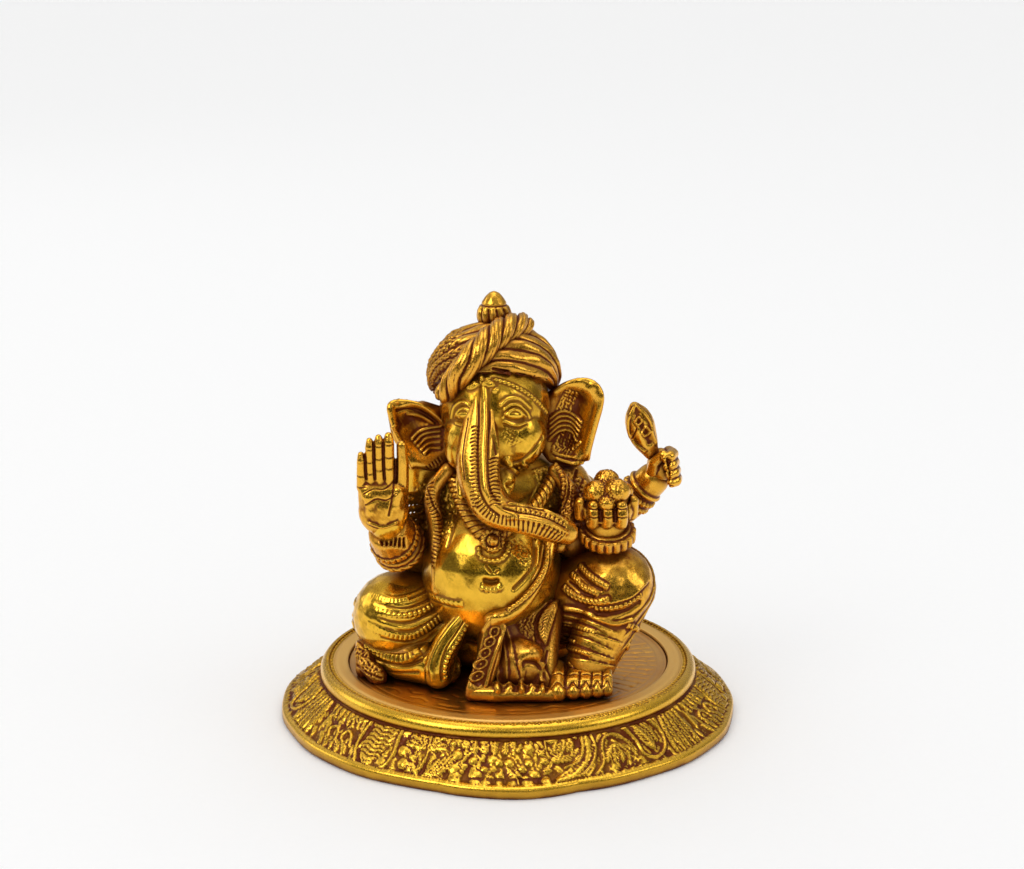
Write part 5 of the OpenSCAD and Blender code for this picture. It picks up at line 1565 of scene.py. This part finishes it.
def make_floor_disc():
    """The floor disc with its engraved strokes and rays."""
    low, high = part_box("floor_disc")
    radius, top, under = high.x / MM, high.z / MM, low.z / MM
    # Two turned lines run round the edge.
    face = spread_points([
        (0, top), (radius - 2.6, top), (radius - 2.4, top - 0.12), (radius - 2.1, top), (radius - 0.9, top),
        (radius - 0.7, top - 0.15), (radius - 0.4, top), (radius, top - 0.1)], 0.42 * COARSE)
    mesh = spun_piece([*face, (radius, under), (0, under)], round(620 / COARSE))
    co = Clay.read(mesh.vertices, "co")
    flat = co[:, :2] / MM
    rows = []
    # short curved graver strokes in rings
    for ring, r in enumerate((35.5, 32, 28.5, 25)):
        for i in range(26):
            a = math.tau * (i + 0.5 * (ring % 2)) / 26
            bend = 1.2 * math.sin(5.1 * i + 2 * ring)
            stroke = [clock_point(r, a), clock_point(r + bend, a + 0.07), clock_point(r, a + 0.14)]
            rows.append(("groove", 0.7, 0.24, stroke))
    # a fan of straight rays on the right
    for i in range(12):
        a = math.radians(52 + 5 * i)
        rows.append(("groove", 0.7, 0.2, [clock_point(22, a), clock_point(37, a)]))
    lift = flat_marks(flat, rows) * (co[:, 2] / MM > top - 0.2)
    co[:, 2] += lift * MM
    mesh.vertices.foreach_set("co", co.astype(np.float32).ravel())
    mesh.update()
    record_hollows(mesh, co)
    show_piece("floor_disc", mesh, finish_named("lacquered_copper_brass"))


def make_fasteners():
    """The screws and washers keep their CAD shape and get their finish."""
    for name in ("hold_down_screws", "hold_down_washers"):
        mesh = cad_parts[name].data
        mesh.materials.clear()
        mesh.materials.append(finish_named("turned_steel"))


# ---------- the stage ----------


# What the tent's soft boxes show the metal: the way to each, its half angle in degrees, its strength.
SOFT_BOXES = (
    ((-0.55, -0.5, 0.7), 15, 3.4),
    ((0.8, -0.3, 0.5), 12, 2.0),
    ((0.05, 0.1, 1), 19, 1.3),
    ((-0.9, 0.3, 0.35), 14, 1.6),
    ((0.25, -0.85, 0.55), 7, 1.8),
)
# Name, place in metres, size in metres and power in watts.
LAMPS = (
    ("key", (-0.55, -0.5, 0.75), 0.4, 0.6),
    ("fill", (0.8, -0.25, 0.5), 0.4, 0.2),
    ("top", (0.05, 0.25, 0.95), 0.5, 0.25),
    ("rim", (-0.4, 0.7, 0.5), 0.4, 0.15),
)


def make_stage():
    """Paper, light tent, lamps and camera."""
    scene = bpy.context.scene
    bm = bmesh.new()
    bmesh.ops.create_grid(bm, x_segments=2, y_segments=2, size=6)
    mesh = bpy.data.meshes.new("paper")
    bm.to_mesh(mesh)
    bm.free()
    mesh.materials.append(seamless_paper("seamless_paper", "#FDFDFD"))
    paper = bpy.data.objects.new("paper", mesh)
    scene.collection.objects.link(paper)
    world = bpy.data.worlds.new("light_tent")
    scene.world = world
    world.use_nodes = True
    tree = world.node_tree
    tree.nodes.clear()
    path = add_node(tree, "ShaderNodeLightPath")
    way = add_node(tree, "ShaderNodeTexCoord").outputs["Generated"]
    parts = add_node(tree, "ShaderNodeSeparateXYZ", Vector=way).outputs
    # What the metal mirrors: a darker room towards the viewer, a pale top, and soft boxes.
    front = add_node(tree, "ShaderNodeMapRange", _0=parts["Y"], _1=-0.7, _2=0.8, _3=0.03, _4=0.34).outputs[0]
    over = add_node(tree, "ShaderNodeMapRange", _0=parts["Z"], _1=0.3, _2=0.95, _3=0.0, _4=0.42).outputs[0]
    mirrored = add_node(tree, "ShaderNodeMath", {"operation": "ADD"}, _0=front, _1=over).outputs[0]
    for way_to, half_angle, strength in SOFT_BOXES:
        near = add_node(tree, "ShaderNodeVectorMath", {"operation": "DOT_PRODUCT"}, _0=way,
            _1=Vector(way_to).normalized()).outputs["Value"]
        edge, full = (math.cos(math.radians(half_angle * share)) for share in (1.35, 0.8))
        box = add_node(tree, "ShaderNodeMapRange", {"interpolation_type": "SMOOTHSTEP"}, _0=near, _1=edge,
            _2=full, _3=0.0, _4=strength).outputs[0]
        mirrored = add_node(tree, "ShaderNodeMath", {"operation": "ADD"}, _0=mirrored, _1=box).outputs[0]
    glossy = add_node(tree, "ShaderNodeBackground", Color=(1, 1, 1, 1), Strength=mirrored)
    plain = add_node(tree, "ShaderNodeBackground", Color=(1, 1, 1, 1), Strength=0.91)
    mixed = add_node(tree, "ShaderNodeMixShader", _0=path.outputs["Is Glossy Ray"], _1=plain.outputs[0],
        _2=glossy.outputs[0])
    add_node(tree, "ShaderNodeOutputWorld", Surface=mixed.outputs[0])
    for name, at, size, power in LAMPS:
        lamp = bpy.data.lights.new(name, "AREA")
        lamp.shape = "SQUARE"
        lamp.size = size
        lamp.energy = power
        lamp_object = bpy.data.objects.new(name, lamp)
        lamp_object.location = at
        aim = Vector((0, 0, 0.05)) - Vector(at)
        lamp_object.rotation_euler = aim.to_track_quat("-Z", "Y").to_euler()
        scene.collection.objects.link(lamp_object)
    # Looks down at 15.4 degrees, 65 cm from the middle of the plinth's foot.
    lens = bpy.data.cameras.new("camera")
    lens.lens = 89.6
    lens.sensor_width = 36
    camera = bpy.data.objects.new("camera", lens)
    camera.location = (0.001, -0.6048, 0.2382)
    camera.rotation_euler = (math.radians(74.6), 0, 0)
    scene.collection.objects.link(camera)
    scene.camera = camera
    scene.view_settings.view_transform = "Standard"


# ---------- the add-on ----------


class GANESHA_OT_stage(bpy.types.Operator):
    """Sets out the paper, light tent, lamps and camera."""

    bl_idname = "ganesha.stage"
    bl_label = "Studio"

    def execute(self, context):
        make_stage()
        return {"FINISHED"}


class GANESHA_OT_plinth(bpy.types.Operator):
    """Models the flared plinth with its frieze of leaves."""

    bl_idname = "ganesha.plinth"
    bl_label = "Plinth"

    def execute(self, context):
        make_plinth()
        return {"FINISHED"}


class GANESHA_OT_floor_disc(bpy.types.Operator):
    """Models the engraved floor disc."""

    bl_idname = "ganesha.floor_disc"
    bl_label = "Floor disc"

    def execute(self, context):
        make_floor_disc()
        return {"FINISHED"}


class GANESHA_OT_fasteners(bpy.types.Operator):
    """Gives the hold-down screws and washers their finish."""

    bl_idname = "ganesha.fasteners"
    bl_label = "Screws and washers"

    def execute(self, context):
        make_fasteners()
        return {"FINISHED"}


class GANESHA_OT_torso(bpy.types.Operator):
    """Models the round body."""

    bl_idname = "ganesha.torso"
    bl_label = "Torso"

    def execute(self, context):
        make_torso()
        return {"FINISHED"}


class GANESHA_OT_right_leg(bpy.types.Operator):
    """Models the leg folded on the floor."""

    bl_idname = "ganesha.right_leg"
    bl_label = "Folded leg"

    def execute(self, context):
        make_right_leg()
        return {"FINISHED"}


class GANESHA_OT_left_leg(bpy.types.Operator):
    """Models the leg with the raised knee."""

    bl_idname = "ganesha.left_leg"
    bl_label = "Raised leg"

    def execute(self, context):
        make_left_leg()
        return {"FINISHED"}


class GANESHA_OT_left_foot(bpy.types.Operator):
    """Models the foot with its toes."""

    bl_idname = "ganesha.left_foot"
    bl_label = "Foot"

    def execute(self, context):
        make_left_foot()
        return {"FINISHED"}


class GANESHA_OT_lap_cloth(bpy.types.Operator):
    """Models the drape, hem, apron panel and folds on the lap."""

    bl_idname = "ganesha.lap_cloth"
    bl_label = "Lap cloth"

    def execute(self, context):
        make_lap_cloth()
        return {"FINISHED"}


class GANESHA_OT_waist_sash(bpy.types.Operator):
    """Models the corded sash."""

    bl_idname = "ganesha.waist_sash"
    bl_label = "Sash"

    def execute(self, context):
        make_waist_sash()
        return {"FINISHED"}


class GANESHA_OT_right_arm(bpy.types.Operator):
    """Models the arm with the raised palm."""

    bl_idname = "ganesha.right_arm"
    bl_label = "Right arm"

    def execute(self, context):
        make_right_arm()
        return {"FINISHED"}


class GANESHA_OT_left_arms(bpy.types.Operator):
    """Models the arms with the sweets and the lotus bud."""

    bl_idname = "ganesha.left_arms"
    bl_label = "Left arms"

    def execute(self, context):
        make_left_arms()
        return {"FINISHED"}


class GANESHA_OT_head(bpy.types.Operator):
    """Models the head, trunk and tusks."""

    bl_idname = "ganesha.head"
    bl_label = "Head"

    def execute(self, context):
        make_head()
        return {"FINISHED"}


class GANESHA_OT_ears(bpy.types.Operator):
    """Models both ears."""

    bl_idname = "ganesha.ears"
    bl_label = "Ears"

    def execute(self, context):
        make_ears()
        return {"FINISHED"}


class GANESHA_OT_turban(bpy.types.Operator):
    """Models the turban, its twisted band and the finial."""

    bl_idname = "ganesha.turban"
    bl_label = "Turban"

    def execute(self, context):
        make_turban()
        return {"FINISHED"}


class GANESHA_OT_jewels(bpy.types.Operator):
    """Models the necklace and scarves."""

    bl_idname = "ganesha.jewels"
    bl_label = "Jewels"

    def execute(self, context):
        make_jewels()
        return {"FINISHED"}


# In the order they run.
OPERATORS = (
    GANESHA_OT_stage,
    GANESHA_OT_plinth,
    GANESHA_OT_floor_disc,
    GANESHA_OT_fasteners,
    GANESHA_OT_torso,
    GANESHA_OT_right_leg,
    GANESHA_OT_left_leg,
    GANESHA_OT_left_foot,
    GANESHA_OT_lap_cloth,
    GANESHA_OT_waist_sash,
    GANESHA_OT_right_arm,
    GANESHA_OT_left_arms,
    GANESHA_OT_head,
    GANESHA_OT_ears,
    GANESHA_OT_turban,
    GANESHA_OT_jewels,
)


class GANESHA_PT_pieces(bpy.types.Panel):
    """Lists the pieces and their settings."""

    bl_label = "Ganesha"
    bl_idname = "GANESHA_PT_pieces"
    bl_space_type = "VIEW_3D"
    bl_region_type = "UI"
    bl_category = "Ganesha"

    def draw(self, context):
        for group in settings():
            for name in group.bl_rna.properties.keys():
                if name not in ("rna_type", "name"):
                    self.layout.prop(group, name)
        for operator in OPERATORS:
            self.layout.operator(operator.bl_idname)


CLASSES = (GaneshaFinish, GaneshaSizes, *OPERATORS, GANESHA_PT_pieces)


def register():
    """Registers the classes and hangs the settings on the scene."""
    for kind in CLASSES:
        bpy.utils.register_class(kind)
    bpy.types.Scene.ganesha_finish = bpy.props.PointerProperty(type=GaneshaFinish)
    bpy.types.Scene.ganesha_sizes = bpy.props.PointerProperty(type=GaneshaSizes)


def unregister():
    """Takes the settings and the classes away again."""
    del bpy.types.Scene.ganesha_finish
    del bpy.types.Scene.ganesha_sizes
    for kind in reversed(CLASSES):
        bpy.utils.unregister_class(kind)


def main():
    """Makes the whole object in order."""
    register()
    for operator in OPERATORS:
        getattr(bpy.ops.ganesha, operator.bl_idname.split(".")[1])()


if __name__ == "__main__":
    main()
